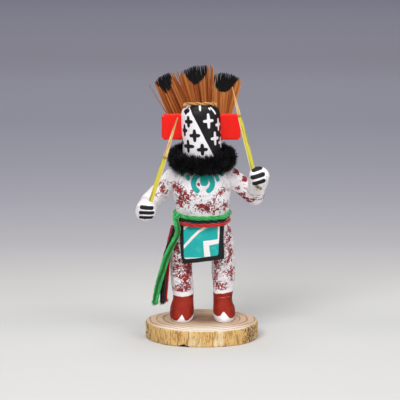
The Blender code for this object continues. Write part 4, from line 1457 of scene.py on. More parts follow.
LEFT_ARM = Arm(
    side=Side.LEFT,
    seed=25,
    shoulder=(-12.6, 0.3, 60.9),
    elbow=(-22.4, 0.0, 50.3),
    fist_end=(-24.3, -16.2, 48.5),
    stripes=(
        ((-25.4, 57.9), (-21.2, 57.5), 0.84),
        ((-25.9, 55.6), (-20.8, 55.5), 0.74),
        ((-25.9, 53.5), (-21.0, 53.4), 0.68),
    ),
    wrist_lines=((5.4, 0.28), (7.2, 0.2)),
    dabs=(
        (-16.6, 62.5, 1.8, 2.6, 0, 0.7), (-17.6, 65.8, 1.4, 1.4, 0, 0.65), (-20.2, 61.0, 1.5, 1.6, 0, 0.6),
        (-13.4, 66.6, 1.8, 1.0, 0, 0.6), (-22.6, 58.6, 1.5, 1.0, 0, 0.5),
    ),
)
RIGHT_ARM = Arm(
    side=Side.RIGHT,
    seed=26,
    shoulder=(12.2, 0.3, 61.4),
    elbow=(22.4, 0.0, 53.4),
    fist_end=(24.5, -11.5, 65.3),
    stripes=(
        ((21.6, 72.9), (24.7, 73.9), 0.84),
        ((21.2, 70.0), (25.6, 71.3), 0.9),
        ((21.9, 67.3), (25.9, 68.7), 0.88),
    ),
    wrist_lines=((3.2, 0.24), (4.6, 0.2), (1.6, 0.2)),
    dabs=(
        (14.4, 74.2, 2.2, 1.2, 0, 1.1), (14.8, 71.2, 1.5, 1.5, 0, 1.3), (18.2, 67.8, 1.2, 1.2, 0, 1.3),
        (20.0, 71.6, 0.5, 1.4, 0, 1.1), (18.6, 61.4, 2.0, 0.6, 0, 1.2), (25.5, 60.5, 1.4, 1.4, 0, 0.9),
        (15.4, 64.0, 1.0, 1.2, 0, 1.0), (21.5, 59.4, 2.4, 0.7, 0, 1.1), (14.0, 76.2, 1.4, 0.8, 0, 1.0),
        (23.5, 62.8, 1.6, 0.4, 0, 0.8), (27.0, 63.5, 0.6, 1.6, 0, 0.8), (15.6, 61.2, 1.4, 0.7, 0, 1.3),
        (17.6, 59.6, 1.5, 0.7, 0, 1.3), (19.8, 58.2, 1.6, 0.6, 0, 1.2), (24.4, 61.2, 1.8, 0.5, 0, 1.1),
    ),
    olive_patch=((22.8, 66.4), (24.6, 65.0)),
)


@dataclass
class Ears:
    """Two red tabs on the sides of the mask."""

    wide: float = 8.1
    tall: float = 11.0
    thick: float = 3.0
    round_by: float = 0.7
    corner: float = 1.5
    middle: float = 82.9
    seat: float = 1.2
    gap: float = 0.3
    cells: int = 44

    def slab(self) -> tuple[Array, Array, Array]:
        """A round-edged slab: a cube's grid is clamped to an inner box and pushed out from it by
        the edge's radius.

        Returns:
            Its points about its middle, its quads, and how near an edge each point is.
        """
        half = np.array([self.wide + self.seat, self.thick, self.tall]) / 2
        t = np.linspace(-1, 1, self.cells)
        a, b = np.meshgrid(t, t, indexing="ij")
        parts, faces = [], grid_faces(self.cells, self.cells, around=False)
        for axis in range(3):
            for sign in (-1, 1):
                cube = np.empty((self.cells, self.cells, 3))
                cube[..., axis] = sign
                cube[..., (axis + 1) % 3] = a * sign
                cube[..., (axis + 2) % 3] = b
                parts.append((cube.reshape(-1, 3), faces))
        cube, quads = joined(parts)
        inner = half - self.round_by
        spot = np.sign(cube) * half * np.abs(cube) ** 0.8
        core = np.clip(spot, -inner, inner)
        away = spot - core
        length = np.linalg.norm(away, axis=1, keepdims=True)
        points = core + self.round_by * away / np.maximum(length, 1e-9)
        flat = half[[0, 2]] - self.corner
        past = np.maximum(np.abs(points[:, [0, 2]]) - flat, 0)
        reach = np.hypot(*past.T)
        pull = np.where(reach > 0, np.max(past, axis=1) / np.maximum(reach, 1e-9), 1.0)
        points[:, [0, 2]] -= np.sign(points[:, [0, 2]]) * past * (1 - pull)[:, None]
        wear = (np.abs(spot) > inner - 0.15).sum(axis=1) / 2
        return points, quads, np.clip(wear - 0.5, 0, 1)

    def build(self, finish: EarPaint, lean: float, pivot: float) -> list[Piece]:
        """Makes both ears.

        Args:
            finish: their paint.
            lean: the mask's lean in degrees.
            pivot: the height about which it leans.

        Returns:
            The pieces.
        """
        sway = math.tan(math.radians(lean)) * (self.middle - pivot)
        out = HEAD_RADIUS + self.gap - self.seat + (self.wide + self.seat) / 2
        material, made = finish.material(), []
        for side, sign in ((Side.LEFT, -1), (Side.RIGHT, 1)):
            points, quads, wear = self.slab()
            shift = np.array([sway + sign * out, AXIS_Y, SOLE_Z + self.middle])
            points = points + 0.05 * ripple(points + sign * 7, 5.0, 41)[:, None] + shift
            piece = make_piece(f"ear_{side.value}_tab", points, quads, material, {"wear": wear})
            piece.modifiers.new("weld", "WELD").merge_threshold = 1e-5
            made.append(stand_in(piece, f"ear_{side.value}"))
        return made


@dataclass
class Ruff:
    """Short fur sewn into a ring round the neck: a core, and ribbons for its hairs.

    Longer is the share of hairs that stand out, and by how much.
    """

    inner: float = 7.8
    half_width: float = 3.6
    half_height: float = 4.1
    middle: float = 69.5
    tilt: float = 10.0
    hairs: int = 19000
    hair_long: float = 2.3
    hair_wide: float = 0.3
    stray: float = 0.24
    tuft_wave: float = 2.6
    tuft_pull: float = 0.65
    sag: float = -0.05
    longer: Spot = (0.06, 1.25)
    half_spread: float = 0.62 * math.pi
    core_share: float = 0.5
    drawn_in: float = 0.45

    def surface(self, around: Array, about: Array, share: float) -> tuple[Array, Array]:
        """A torus made taller than it is thick, tipped forward.

        Args:
            around: angle round the neck of each point.
            about: angle about the ring's own middle line.
            share: the part of its full thickness.

        Returns:
            Points on it and its outward directions.
        """
        ring = self.inner + self.half_width - self.drawn_in
        wide, tall = self.half_width * share, self.half_height * share
        reach = ring + wide * np.cos(about)
        flat = np.stack([reach * np.cos(around), reach * np.sin(around), tall * np.sin(about)], axis=-1)
        level, rise = np.cos(about) / wide, np.sin(about) / tall
        out = np.stack([level * np.cos(around), level * np.sin(around), rise], axis=-1)
        turn = np.array(Matrix.Rotation(math.radians(self.tilt), 3, "X"))
        return flat @ turn.T + (0, AXIS_Y, SOLE_Z + self.middle), unit(out) @ turn.T

    def build(self, finish: Pile) -> Piece:
        """Makes the core and the hairs as one piece.

        Each hair is a ribbon of two quads that narrows to its tip, leans a little to a seeded
        side and bends down.

        Args:
            finish: the fur's finish.

        Returns:
            The piece.
        """
        u, v = np.meshgrid(full_turn(96), full_turn(32), indexing="ij")
        core, _ = self.surface(u.ravel(), v.ravel(), self.core_share)
        quads = grid_faces(96, 32, closed=True)
        chance = np.random.default_rng(17)
        around = chance.uniform(0, 2 * math.pi, self.hairs)
        about = chance.uniform(-self.half_spread, self.half_spread, self.hairs)
        root, out = self.surface(around, about, self.core_share)
        lean = chance.normal(size=(self.hairs, 3)) * self.stray
        tuft = np.stack([ripple(root, self.tuft_wave, seed) for seed in (51, 52, 53)], axis=1)
        way = unit(out + lean + tuft * self.tuft_pull + (0, 0, self.sag))
        long = self.hair_long * chance.uniform(0.45, 1.25, self.hairs)[:, None]
        share, by = self.longer
        long *= np.where(chance.uniform(size=self.hairs) < share, by, 1.0)[:, None]
        side = np.cross(way, chance.normal(size=(self.hairs, 3)))
        side *= self.hair_wide / 2 / np.linalg.norm(side, axis=1, keepdims=True)
        middle = np.stack([root, root + way * long * 0.55, root + (way + tuft / 8) * long], axis=1)
        narrowed = side[:, None] * np.array([1.0, 0.7, 0.2])[:, None]
        points, faces = joined([(core, quads), ribbons(middle, narrowed)])
        # Each hair's reach from root to tip, along which the fur's finish paints its highlight.
        reach = np.concatenate([np.zeros(len(core)), np.tile([0, 0, 0.4, 0.4, 1.0, 1.0], self.hairs)])
        piece = make_piece("fur_ruff", points, faces, finish.material(), {"reach": reach})
        return stand_in(piece, "neck_ruff")


@dataclass
class Feather:
    """One feather: barbs that run up side by side to a trimmed end, and the quill behind them.

    Outlines are (across, height above the soles) as seen from in front. The layer counts the
    feathers between it and the crown, and the drops are how far the end's left and right corners
    lie below its middle. The patch is black. A stray is (foot, end, radius, paleness). Barbs start
    and short ones end at a share of the length, and their ends are gathered into tufts.
    """

    side: Side
    foot: Spot
    tip: Spot
    half: float
    layer: int
    full_at: float
    drops: Spot
    patch: tuple[Spot, ...]
    strays: tuple[tuple[Spot, Spot, float, float], ...]
    tone: float
    seed: int
    gap: float = 0.3
    thick: float = 0.7
    quill: float = 0.5
    swell: float = 0.55
    lean: float = 0.055
    barbs: int = 700
    quill_radii: Spot = (0.42, 0.12)
    tufts: int = 52
    gathered: Spot = (0.2, 0.85)
    starts: Spot = (0.02, 0.34)
    short_share: float = 0.15
    short_ends: Spot = (0.6, 0.95)
    steps: int = 14
    barb_wide: float = 0.3

    def place(self) -> tuple[Array, Array, Array, Array]:
        """The feather's foot and its across, up and outward directions."""
        run = np.array([self.tip[0] - self.foot[0], 0.0, self.tip[1] - self.foot[1]])
        up = unit(unit(run) + (0, self.lean, 0))
        across = unit(np.array([up[2], 0.0, -up[0]]))
        back = HEAD_RADIUS + self.gap + self.thick / 2 + self.layer * (self.thick + self.gap)
        foot = np.array([self.foot[0], AXIS_Y + back, SOLE_Z + self.foot[1]])
        return foot, across, up, np.cross(across, up)

    def breadth(self, share: Array) -> Array:
        """Half the vane's breadth at a share of its length."""
        return self.quill + (self.half - self.quill) * np.clip(share / self.full_at, 0, 1) ** self.swell

    def build(self, finish: Material) -> Piece:
        """Makes the barbs, the stray ones and the quill.

        A barb keeps its lane, a share of the vane's breadth, from its start to its end, and
        neighbours' ends draw together in tufts of seeded size. Ends follow a low dome.

        Args:
            finish: the barbs' material.

        Returns:
            The piece.
        """
        chance = np.random.default_rng(self.seed)
        length = math.hypot(self.tip[0] - self.foot[0], self.tip[1] - self.foot[1])
        lane = chance.uniform(-1, 1, self.barbs)
        tufts = np.sort(chance.uniform(-1.05, 1.05, self.tufts))
        tuft = np.abs(lane[:, None] - tufts).argmin(axis=1)
        end_lane = lane + (tufts[tuft] - lane) * chance.uniform(*self.gathered, self.barbs)
        start = length * chance.uniform(*self.starts, self.barbs)
        drop = np.where(lane < 0, self.drops[0], self.drops[1]) * np.abs(lane) ** 2.2
        stop = length - drop - np.abs(chance.normal(0, 0.45, self.barbs))
        stop -= chance.uniform(0, 0.6, self.tufts)[tuft]
        short = chance.uniform(size=self.barbs) < self.short_share
        stop = np.where(short, length * chance.uniform(*self.short_ends, self.barbs), stop)
        t = np.linspace(0, 1, self.steps)[None]
        v = start[:, None] + (stop - start)[:, None] * t
        drawn = lane[:, None] + (end_lane - lane)[:, None] * t**4
        u = drawn * np.maximum(self.breadth(v / length) - 0.12, 0.1)
        u += chance.normal(0, 0.1, self.barbs)[:, None] * t * (1 - t) * 2
        w = chance.uniform(-0.5, 0.5, self.barbs)[:, None] * self.thick * (0.3 + 0.7 * t)
        wide = self.barb_wide * chance.uniform(0.6, 1.25, self.barbs)[:, None] * (1 - 0.7 * t**6)
        foot, across, up, out = self.place()
        middle = foot + u[..., None] * across + v[..., None] * up + w[..., None] * out
        slope = np.gradient(u, axis=1) / np.maximum(np.gradient(v, axis=1), 1e-6)
        face = (across + slope[..., None] * -up) / np.sqrt(1 + slope[..., None] ** 2)
        half = (face + out * chance.uniform(-0.4, 0.4, self.barbs)[:, None, None]) * wide[..., None] / 2
        tip = shape_distance(middle[..., 0], middle[..., 2] - SOLE_Z, self.patch)
        tip += (chance.normal(0, 0.14, self.barbs) + chance.normal(0, 0.2, self.tufts)[tuft])[:, None]
        tip += np.clip(t - 0.9, 0, 1) * 10 * np.abs(chance.normal(0, 0.7, self.barbs))[:, None]
        waves = 0.18 * np.sin(lane * 7 + self.seed) + 0.17 * np.sin(lane * 23 + 2.0 * self.seed)
        tint = self.tone + waves + 0.16 * np.abs(lane) ** 4 + chance.normal(0, 0.2, self.barbs)
        tint = np.repeat(np.clip(tint, 0, 1), self.steps * 2)
        made = [ribbons(middle, half)]
        reach = np.broadcast_to(t, v.shape)
        looks = [(tint, np.repeat(reach, 2), np.repeat(tip, 2), 0.0)]
        for rod, *look in self.rods(length, foot, up, out):
            made.append(rod)
            looks.append(look)
        points, faces = joined(made)
        sizes = [len(found) for found, _ in made]
        fields = {
            key: np.concatenate([np.broadcast_to(look[i], size) for look, size in zip(looks, sizes)])
            for i, key in enumerate(("tint", "reach", "tip", "quill"))
        }
        name = f"feather_{self.side.value}"
        piece = make_piece(f"{name}_barbed", points, faces, finish, fields)
        return stand_in(piece, name)

    def rods(self, length: float, foot: Array, up: Array, out: Array) -> list[tuple]:
        """The stray barbs, stiff and single, and the quill behind the vane.

        Args:
            length: how long the feather is.
            foot: its foot.
            up: the direction that it runs in.
            out: the direction out of its back.

        Returns:
            For each rod its points and quads, and its tint, reach, tip and quill fields.
        """
        made = []
        for start, end, radius, pale in self.strays:
            ends = np.array([[across, 0, height + SOLE_Z] for across, height in (start, end)])
            ends[:, 1] = foot[1] + (ends[:, 2] - foot[2]) * up[1] / up[2] + out[1] * self.thick * 0.5
            line = ends[0] + (ends[1] - ends[0]) * np.linspace(0, 1, 12)[:, None]
            rod = swept(line, np.linspace(radius, radius * 0.5, 12), 6, closed=False)
            made.append((rod[:2], 0.55, 0.8, FAR, pale))
        reach = np.linspace(-0.4, length * 0.9, 40)
        spine = foot + reach[:, None] * up - out * (self.thick * 0.3)
        rod = swept(spine, np.interp(reach, (0, length), self.quill_radii), 8, closed=False)
        return [*made, (rod[:2], 0.7, 0.2, FAR, 0.8)]


FEATHERS = (
    Feather(
        side=Side.LEFT,
        foot=(-6.2, 79.5),
        tip=(-17.0, 104.2),
        half=4.8,
        layer=1,
        full_at=0.28,
        drops=(1.6, 0.6),
        patch=(
            (-20.9, 100.9), (-17.8, 104.4), (-15.0, 107.5), (-13.6, 107.5), (-13.0, 102.6), (-12.9, 99.2),
            (-13.8, 97.3), (-15.3, 96.0), (-17.0, 97.5), (-18.9, 98.8),
        ),
        strays=(
            ((-15.2, 87.3), (-22.9, 99.8), 0.2, 0.0), ((-14.4, 86.6), (-19.6, 94.6), 0.1, 0.7),
            ((-7.4, 93.2), (-12.6, 103.6), 0.3, 0.0), ((-7.0, 93.0), (-12.0, 102.6), 0.3, 0.0),
            ((-6.7, 93.0), (-11.5, 102.9), 0.3, 0.0), ((-6.5, 93.0), (-11.0, 101.2), 0.3, 0.0),
            ((-6.3, 93.2), (-10.3, 99.8), 0.3, 0.0), ((-7.6, 95.2), (-12.3, 105.0), 0.09, 0.6),
        ),
        tone=0.5,
        seed=3,
    ),
    Feather(
        side=Side.MIDDLE,
        foot=(1.2, 79.0),
        tip=(-3.2, 108.2),
        half=7.7,
        layer=0,
        full_at=0.90,
        drops=(3.2, 1.3),
        patch=(
            (-9.5, 105.6), (-8.8, 110.0), (2.6, 111.0), (2.6, 106.9), (2.2, 105.2), (0.6, 102.6),
            (-1.1, 100.7), (-3.0, 99.8), (-5.0, 100.8), (-6.9, 102.9),
        ),
        strays=(
            ((4.3, 98.0), (5.6, 107.4), 0.12, 0.4), ((-7.0, 97.0), (-11.4, 104.8), 0.1, 0.5),
            ((-6.6, 94.5), (-11.2, 104.6), 0.3, 0.0), ((-6.8, 94.5), (-11.7, 103.4), 0.3, 0.0),
            ((-6.2, 94.5), (-10.6, 105.4), 0.3, 0.0), ((-7.4, 96.5), (-12.2, 104.4), 0.12, 0.3),
        ),
        tone=0.46,
        seed=5,
    ),
    Feather(
        side=Side.RIGHT,
        foot=(8.2, 79.5),
        tip=(11.0, 104.9),
        half=6.3,
        layer=1,
        full_at=0.85,
        drops=(1.4, 2.4),
        patch=(
            (4.6, 104.1), (4.9, 108.0), (17.0, 106.0), (16.6, 102.5), (14.5, 100.7), (12.8, 98.7),
            (11.6, 97.2), (9.7, 96.4), (7.7, 96.6), (6.3, 97.5), (5.0, 100.5),
        ),
        strays=(((4.3, 92.4), (6.4, 105.4), 0.2, 0.75), ((14.6, 91.0), (17.6, 101.4), 0.1, 0.5)),
        tone=0.74,
        seed=8,
    ),
)


def ring_line(node: str, whole: tuple[int, ...] = (8, 9)) -> tuple[Array, Array]:
    """The middle line of a CAD cord that closes on itself.

    Its points lie in rings round that line, and nearer to their own ring's than to the next
    one's. So linked groups of near points are its rings, and their means are the line. Where it
    runs straight for long without rings, points are put in at even distances.

    Args:
        node: the CAD node.
        whole: how many points a ring can have, so that a knot's groups are left out.

    Returns:
        The line's points in millimetres, in order round it, and the middle of what was left out.
    """
    points = np.unique(vectors_of(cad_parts[node].data, "co") / MM, axis=0)
    gaps = np.linalg.norm(points[:, None] - points[None], axis=-1)
    order = np.sort(gaps, axis=1)
    near = gaps < order[:, 2].mean() * 1.25
    label = np.arange(len(points))
    for _ in range(40):
        label = np.where(near, label[None], len(points)).min(axis=1)
    groups = [points[label == one] for one in np.unique(label)]
    middles = np.array([group.mean(axis=0) for group in groups if len(group) in whole])
    rest = [group.mean(axis=0) for group in groups if len(group) not in whole]
    heart = middles.mean(axis=0)
    _, _, axes = np.linalg.svd(middles - heart)
    flat = (middles - heart) @ axes[:2].T
    middles = middles[np.argsort(np.arctan2(flat[:, 1], flat[:, 0]))]
    ahead = np.roll(middles, -1, axis=0)
    span = np.linalg.norm(ahead - middles, axis=1)
    count = np.maximum(1, np.round(span / max(np.median(span), 0.6))).astype(int)
    even = [a + (b - a) * (np.arange(n) / n)[:, None] for a, b, n in zip(middles, ahead, count)]
    return np.vstack(even), np.mean(rest, axis=0) if rest else heart


@dataclass
class Plied:
    """A cord of plies twisted round one middle line."""

    plies: int = 3
    lay: float = 10.0
    sides: int = 14
    step: float = 0.22
    ply_share: float = 0.56
    twist: float = 3.4
    ridge: float = 0.07
    start: float = 0.0

    def spin(self, path: Array, radius: float, closed: bool) -> tuple[Array, Array, dict[str, Array]]:
        """Winds the plies.

        A ply's middle runs round the cord's line on a circle, one turn in each lay. Its own
        section is a circle with three low ridges, which turn once in each twist.

        Args:
            path: the cord's middle line, at even distances.
            radius: the cord's outer radius.
            closed: whether it joins its own start.

        Returns:
            Points, quads and the fields that the yarn's finish reads.
        """
        _, side, other = carried_frames(path, closed)
        gap = float(np.linalg.norm(np.diff(path, axis=0), axis=1).mean())
        total = gap * (len(path) if closed else len(path) - 1)
        turns = round(total / self.lay) if closed else total / self.lay
        angle = self.start + np.arange(len(path)) * gap / total * turns * 2 * math.pi
        ply_radius = radius * self.ply_share
        offset = radius - ply_radius
        parts, thread, groove = [], [], []
        for ply in range(self.plies):
            turn = angle + 2 * math.pi * ply / self.plies
            out = turned(side, other, turn)
            spin = np.arange(len(path))[:, None] * gap * 2 * math.pi / self.twist
            lobes = np.cos(3 * np.arange(self.sides) * 2 * math.pi / self.sides - spin)
            size = ply_radius * (1 - self.ridge + self.ridge * lobes)
            points, quads, about = swept(path + out * offset, size, self.sides, closed)
            away = points - np.repeat(path, self.sides, axis=0)
            # How deep each point lies in the cord, for the painted shade between the plies.
            depth = 1 - np.linalg.norm(away, axis=1) / radius
            reach = np.repeat(np.arange(len(path)) * gap, self.sides)
            slip = about - 2.2 * reach / self.lay * math.pi
            lane = (reach + 37 * ply, ply_radius * np.cos(slip), ply_radius * np.sin(slip))
            thread.append(np.stack(lane, axis=1) * MM)
            groove.append(np.clip(depth * 1.9, 0, 1))
            parts.append((points, quads))
        points, quads = joined(parts)
        return points, quads, {"thread": np.vstack(thread), "groove": np.concatenate(groove)}


@dataclass(frozen=True)
class Strand:
    """One colour of the sash: its turn round the waist and the loose end that hangs from it.

    Its bed is how deep the turn sinks in on the left, and its spread how far the end's two
    strands lie from their common line.
    """

    colour: str
    radius: float
    bed: float
    end_radius: float
    spread: float
    route: tuple[Point, ...]


@dataclass
class Sash:
    """Three turns of yarn round the waist, the knot, and the loose ends that hang from it.

    A wrap of the knot is (how far it leans, its turn about the upright).
    """

    strands: tuple[Strand, ...] = (
        Strand("green", radius=1.0, bed=0.8, end_radius=1.0, spread=1.5, route=(
            (-11.3, -11.2, 44.6), (-10.6, -11.5, 42.2), (-10.3, -10.4, 39.6), (-10.9, -9.0, 37.2),
            (-12.1, -8.2, 34.6), (-13.6, -7.6, 31.4), (-15.0, -7.1, 28.1), (-17.1, -6.7, 21.1),
            (-19.1, -6.4, 13.8), (-20.2, -6.4, 7.7),
        )),
        Strand("black", radius=0.55, bed=1.2, end_radius=0.85, spread=1.25, route=(
            (-11.6, -7.0, 41.0), (-12.2, -6.6, 38.2), (-13.1, -6.0, 35.2), (-14.2, -5.4, 32.2),
            (-15.5, -4.8, 27.8), (-16.3, -4.2, 23.3), (-16.8, -4.0, 17.1), (-17.0, -4.0, 11.9),
            (-17.0, -4.1, 7.5),
        )),
        Strand("red", radius=0.82, bed=1.6, end_radius=0.8, spread=0.95, route=(
            (-12.6, -4.8, 41.0), (-13.2, -4.5, 38.2), (-14.0, -3.9, 34.8), (-14.6, -3.0, 30.0),
            (-14.7, -2.5, 24.7), (-15.1, -2.2, 19.0), (-15.5, -2.2, 13.2), (-15.9, -2.3, 8.0),
        )),
    )
    knot_radius: float = 1.6
    knot_sits: Point = (0.0, -0.7, -0.6)
    wraps: tuple[Spot, Spot] = ((0.5, 0.0), (-0.7, 1.9))
    wrap_lay: float = 5.0
    fibres: int = 220
    snug: float = 0.8
    half_waist: float = 11.0
    first_turn: float = 0.6

    def build(self, finishes: dict[str, Material]) -> list[Piece]:
        """Makes the turns with the knot, and the ends as hanging cords.

        Args:
            finishes: the yarn of each colour.

        Returns:
            The pieces.
        """
        made = [self.turn(strand, finishes[strand.colour]) for strand in self.strands]
        for strand in self.strands:
            made += self.end(strand, finishes[strand.colour])
        return made

    def turn(self, strand: Strand, finish: Material) -> Piece:
        """Makes one turn round the waist.

        It is drawn tight, so that it beds a little into the paint at the sides.

        Args:
            strand: which of the three it is.
            finish: its yarn.

        Returns:
            The piece.
        """
        plied = Plied()
        line, knot = ring_line(f"sash_{strand.colour}")
        bed = np.where(line[:, 0] < 0, strand.bed, self.snug)
        sideways = np.clip(np.abs(line[:, 0]) / self.half_waist, 0, 1) ** 4
        line[:, 0] -= bed * np.sign(line[:, 0]) * sideways
        loop = along(np.vstack([line, line[:1]]), plied.step)[:-1]
        yarn = plied.spin(loop, strand.radius, closed=True)
        if strand.colour == "green":
            yarn = self.with_knot(*yarn, knot + self.knot_sits)
        points, quads, fields = yarn
        piece = make_piece(f"sash_{strand.colour}_yarn", points, quads, finish, fields)
        return stand_in(piece, f"sash_{strand.colour}")

    def end(self, strand: Strand, finish: Material) -> list[Piece]:
        """Makes a loose end: two strands that cross loosely as they hang, and their fray.

        Args:
            strand: which of the three it is.
            finish: its yarn.

        Returns:
            The cord and its fray.
        """
        node = f"tail_{strand.colour}"
        pair = Plied(plies=2, lay=120.0, ply_share=0.53, start=self.first_turn)
        path = along(np.array(strand.route) + STAND, pair.step)
        points, quads, fields = pair.spin(path, strand.spread, closed=False)
        piece = make_piece(f"{node}_yarn", points, quads, finish, fields)
        stand_in(piece, node)
        fray = self.fray(f"{node}_fray", path, strand.end_radius, finish)
        return [piece, fray]

    def with_knot(
        self, points: Array, quads: Array, fields: dict[str, Array], centre: Array
    ) -> tuple[Array, Array, dict[str, Array]]:
        """Adds the knot: two wraps of the same yarn that cross, wound on a small ball.

        Args:
            points: the turn's points.
            quads: its faces.
            fields: its attributes.
            centre: the knot's middle.

        Returns:
            The same with the knot added.
        """
        plied, angle = Plied(lay=self.wrap_lay), np.linspace(0, 2 * math.pi, 90)[:-1]
        made = [(points, quads, fields)]
        for lean, turn in self.wraps:
            wrap = np.stack([np.cos(angle) * 0.75, np.sin(angle) * 0.6, np.sin(angle) * lean], axis=1)
            wrap = wrap * self.knot_radius * 0.8 @ np.array(Matrix.Rotation(turn, 3, "Z")).T
            made.append(plied.spin(centre + wrap, self.knot_radius * 0.5, closed=True))
        points, quads = joined([part[:2] for part in made])
        return points, quads, {key: np.concatenate([part[2][key] for part in made]) for key in fields}

    def fray(self, name: str, path: Array, radius: float, finish: Material) -> Piece:
        """Loose fibres at a cut end: short ribbons that spread and curl a little.

        Args:
            name: its name.
            path: the cord's line.
            radius: the cord's radius.
            finish: the yarn.

        Returns:
            The piece.
        """
        count, chance = self.fibres, np.random.default_rng(len(name))
        way = unit(path[-1] - path[-4])
        start = path[-1] + chance.normal(size=(count, 3)) * (0.62, 0.3, 0.3) * radius - way * 0.6
        lean = way + chance.normal(size=(count, 3)) * 0.13
        long = chance.uniform(0.6, 1.3, count)[:, None]
        side = np.cross(lean, chance.normal(size=(count, 3)))
        side *= 0.06 / np.linalg.norm(side, axis=1, keepdims=True)
        t = np.linspace(0, 1, 4)[None, :, None]
        bend = chance.normal(size=(count, 1, 3)) * 0.2
        middle = start[:, None] + lean[:, None] * t * long[:, None] + bend * t**2
        points, quads = ribbons(middle, np.broadcast_to(side[:, None], middle.shape))
        fields = {"thread": points * MM, "groove": np.zeros(len(points))}
        return make_piece(name, points, quads, finish, fields)


@dataclass
class Headband:
    """The tan cord drawn over the front of the crown and down round the quills behind."""

    radius: float = 0.78
    route: tuple[Point, ...] = (
        (-0.2, 0.4, 93.1), (2.4, 0.5, 93.2), (4.4, 1.1, 93.1), (5.7, 2.8, 92.0), (5.7, 5.0, 92.3),
        (5.4, 8.0, 91.9), (5.7, 11.2, 89.6), (6.9, 13.1, 85.8), (9.3, 13.9, 82.0), (10.1, 15.2, 80.0),
        (7.0, 16.43, 79.26), (1.9, 16.43, 79.0), (-3.2, 16.43, 78.73), (-8.0, 16.43, 78.5),
        (-9.4, 15.2, 79.9), (-9.9, 13.9, 82.0), (-8.4, 13.1, 85.8), (-7.2, 11.2, 89.6),
        (-6.9, 8.0, 92.0), (-7.3, 5.0, 92.3), (-7.5, 2.8, 91.9), (-6.2, 1.3, 92.9), (-3.2, 0.6, 93.2),
        (-0.2, 0.4, 93.1),
    )

    def build(self, finish: Material) -> Piece:
        """Makes it of two plies with a long lay.

        Args:
            finish: the cord's material.

        Returns:
            The piece.
        """
        plied = Plied(plies=2, lay=7.0, step=0.2, ply_share=0.6, twist=2.0)
        loop = along(np.array(self.route) + (0.0, 0.0, SOLE_Z), plied.step)[:-1]
        points, quads, fields = plied.spin(loop, self.radius, closed=True)
        piece = make_piece("headband_cord", points, quads, finish, fields)
        return stand_in(piece, "headband")


@dataclass
class Leaf:
    """A split yucca leaf held in a fist."""

    side: Side
    grip: Point
    lean: Point
    length: float
    above: float
    dries_at: float
    wide: float = 2.0
    thick: float = 0.75
    tip_wide: float = 0.4
    taper_from: float = 0.5

    def build(self, finish: Material) -> Piece:
        """Makes the leaf as a surface of angle and length: a flat ellipse with a ridge along its
        middle, which narrows to its tip, and with a slight bow.

        Args:
            finish: the leaf's material.

        Returns:
            The piece.
        """
        rows, sides = 150, 28
        up = unit(np.array(self.lean))
        across = unit(np.array([1.0, 0, 0]) - up * up[0])
        out = np.cross(up, across)
        share, angle = np.linspace(0, 1, rows)[:, None], full_turn(sides)
        taper = np.clip((share - self.taper_from) / (1 - self.taper_from), 0, 1)
        half = (self.wide + (self.tip_wide - self.wide) * taper**1.3) / 2
        u = half * np.cos(angle)
        ridge = 0.62 + 0.38 * np.exp(-((np.cos(angle) / 0.45) ** 2))
        w = self.thick * (1 - 0.4 * taper) / 2 * np.sin(angle) * ridge
        v = np.broadcast_to(self.above - self.length * (1 - share), u.shape)
        bow = 0.12 * np.sin(share * 5.0)
        lane = np.stack([u, v, w], axis=-1)
        spread = np.stack([u + bow, v, w], axis=-1)
        points = np.array(self.grip) + STAND + spread @ np.stack([across, up, out])
        points, faces = capped(points.reshape(-1, 3), rows, sides)
        pale = np.cos(angle) * (1 if self.side is Side.LEFT else -1)
        ends = [0.0, 1.0]
        fields = {
            "lane": np.vstack([lane.reshape(-1, 3), lane[0, 0], lane[-1, -1]]) * MM,
            "margin": np.concatenate([np.broadcast_to(pale, u.shape).ravel(), ends]),
            "dry": np.concatenate([np.broadcast_to(share, u.shape).ravel(), ends]) - self.dries_at,
        }
        piece = make_piece(f"yucca_leaf_{self.side.value}", points, faces, finish, fields)
        return stand_in(piece, f"yucca_blade_{self.side.value}")


LEAVES = (
    Leaf(Side.LEFT, (-22.9, -12.9, 49.2), (0.328, 0.075, 1.0), length=42.5, above=41.0, dries_at=0.58),
    Leaf(Side.RIGHT, (22.5, -9.4, 60.8), (-0.245, 0.055, 1.0), length=44.8, above=41.0, dries_at=0.72),
)


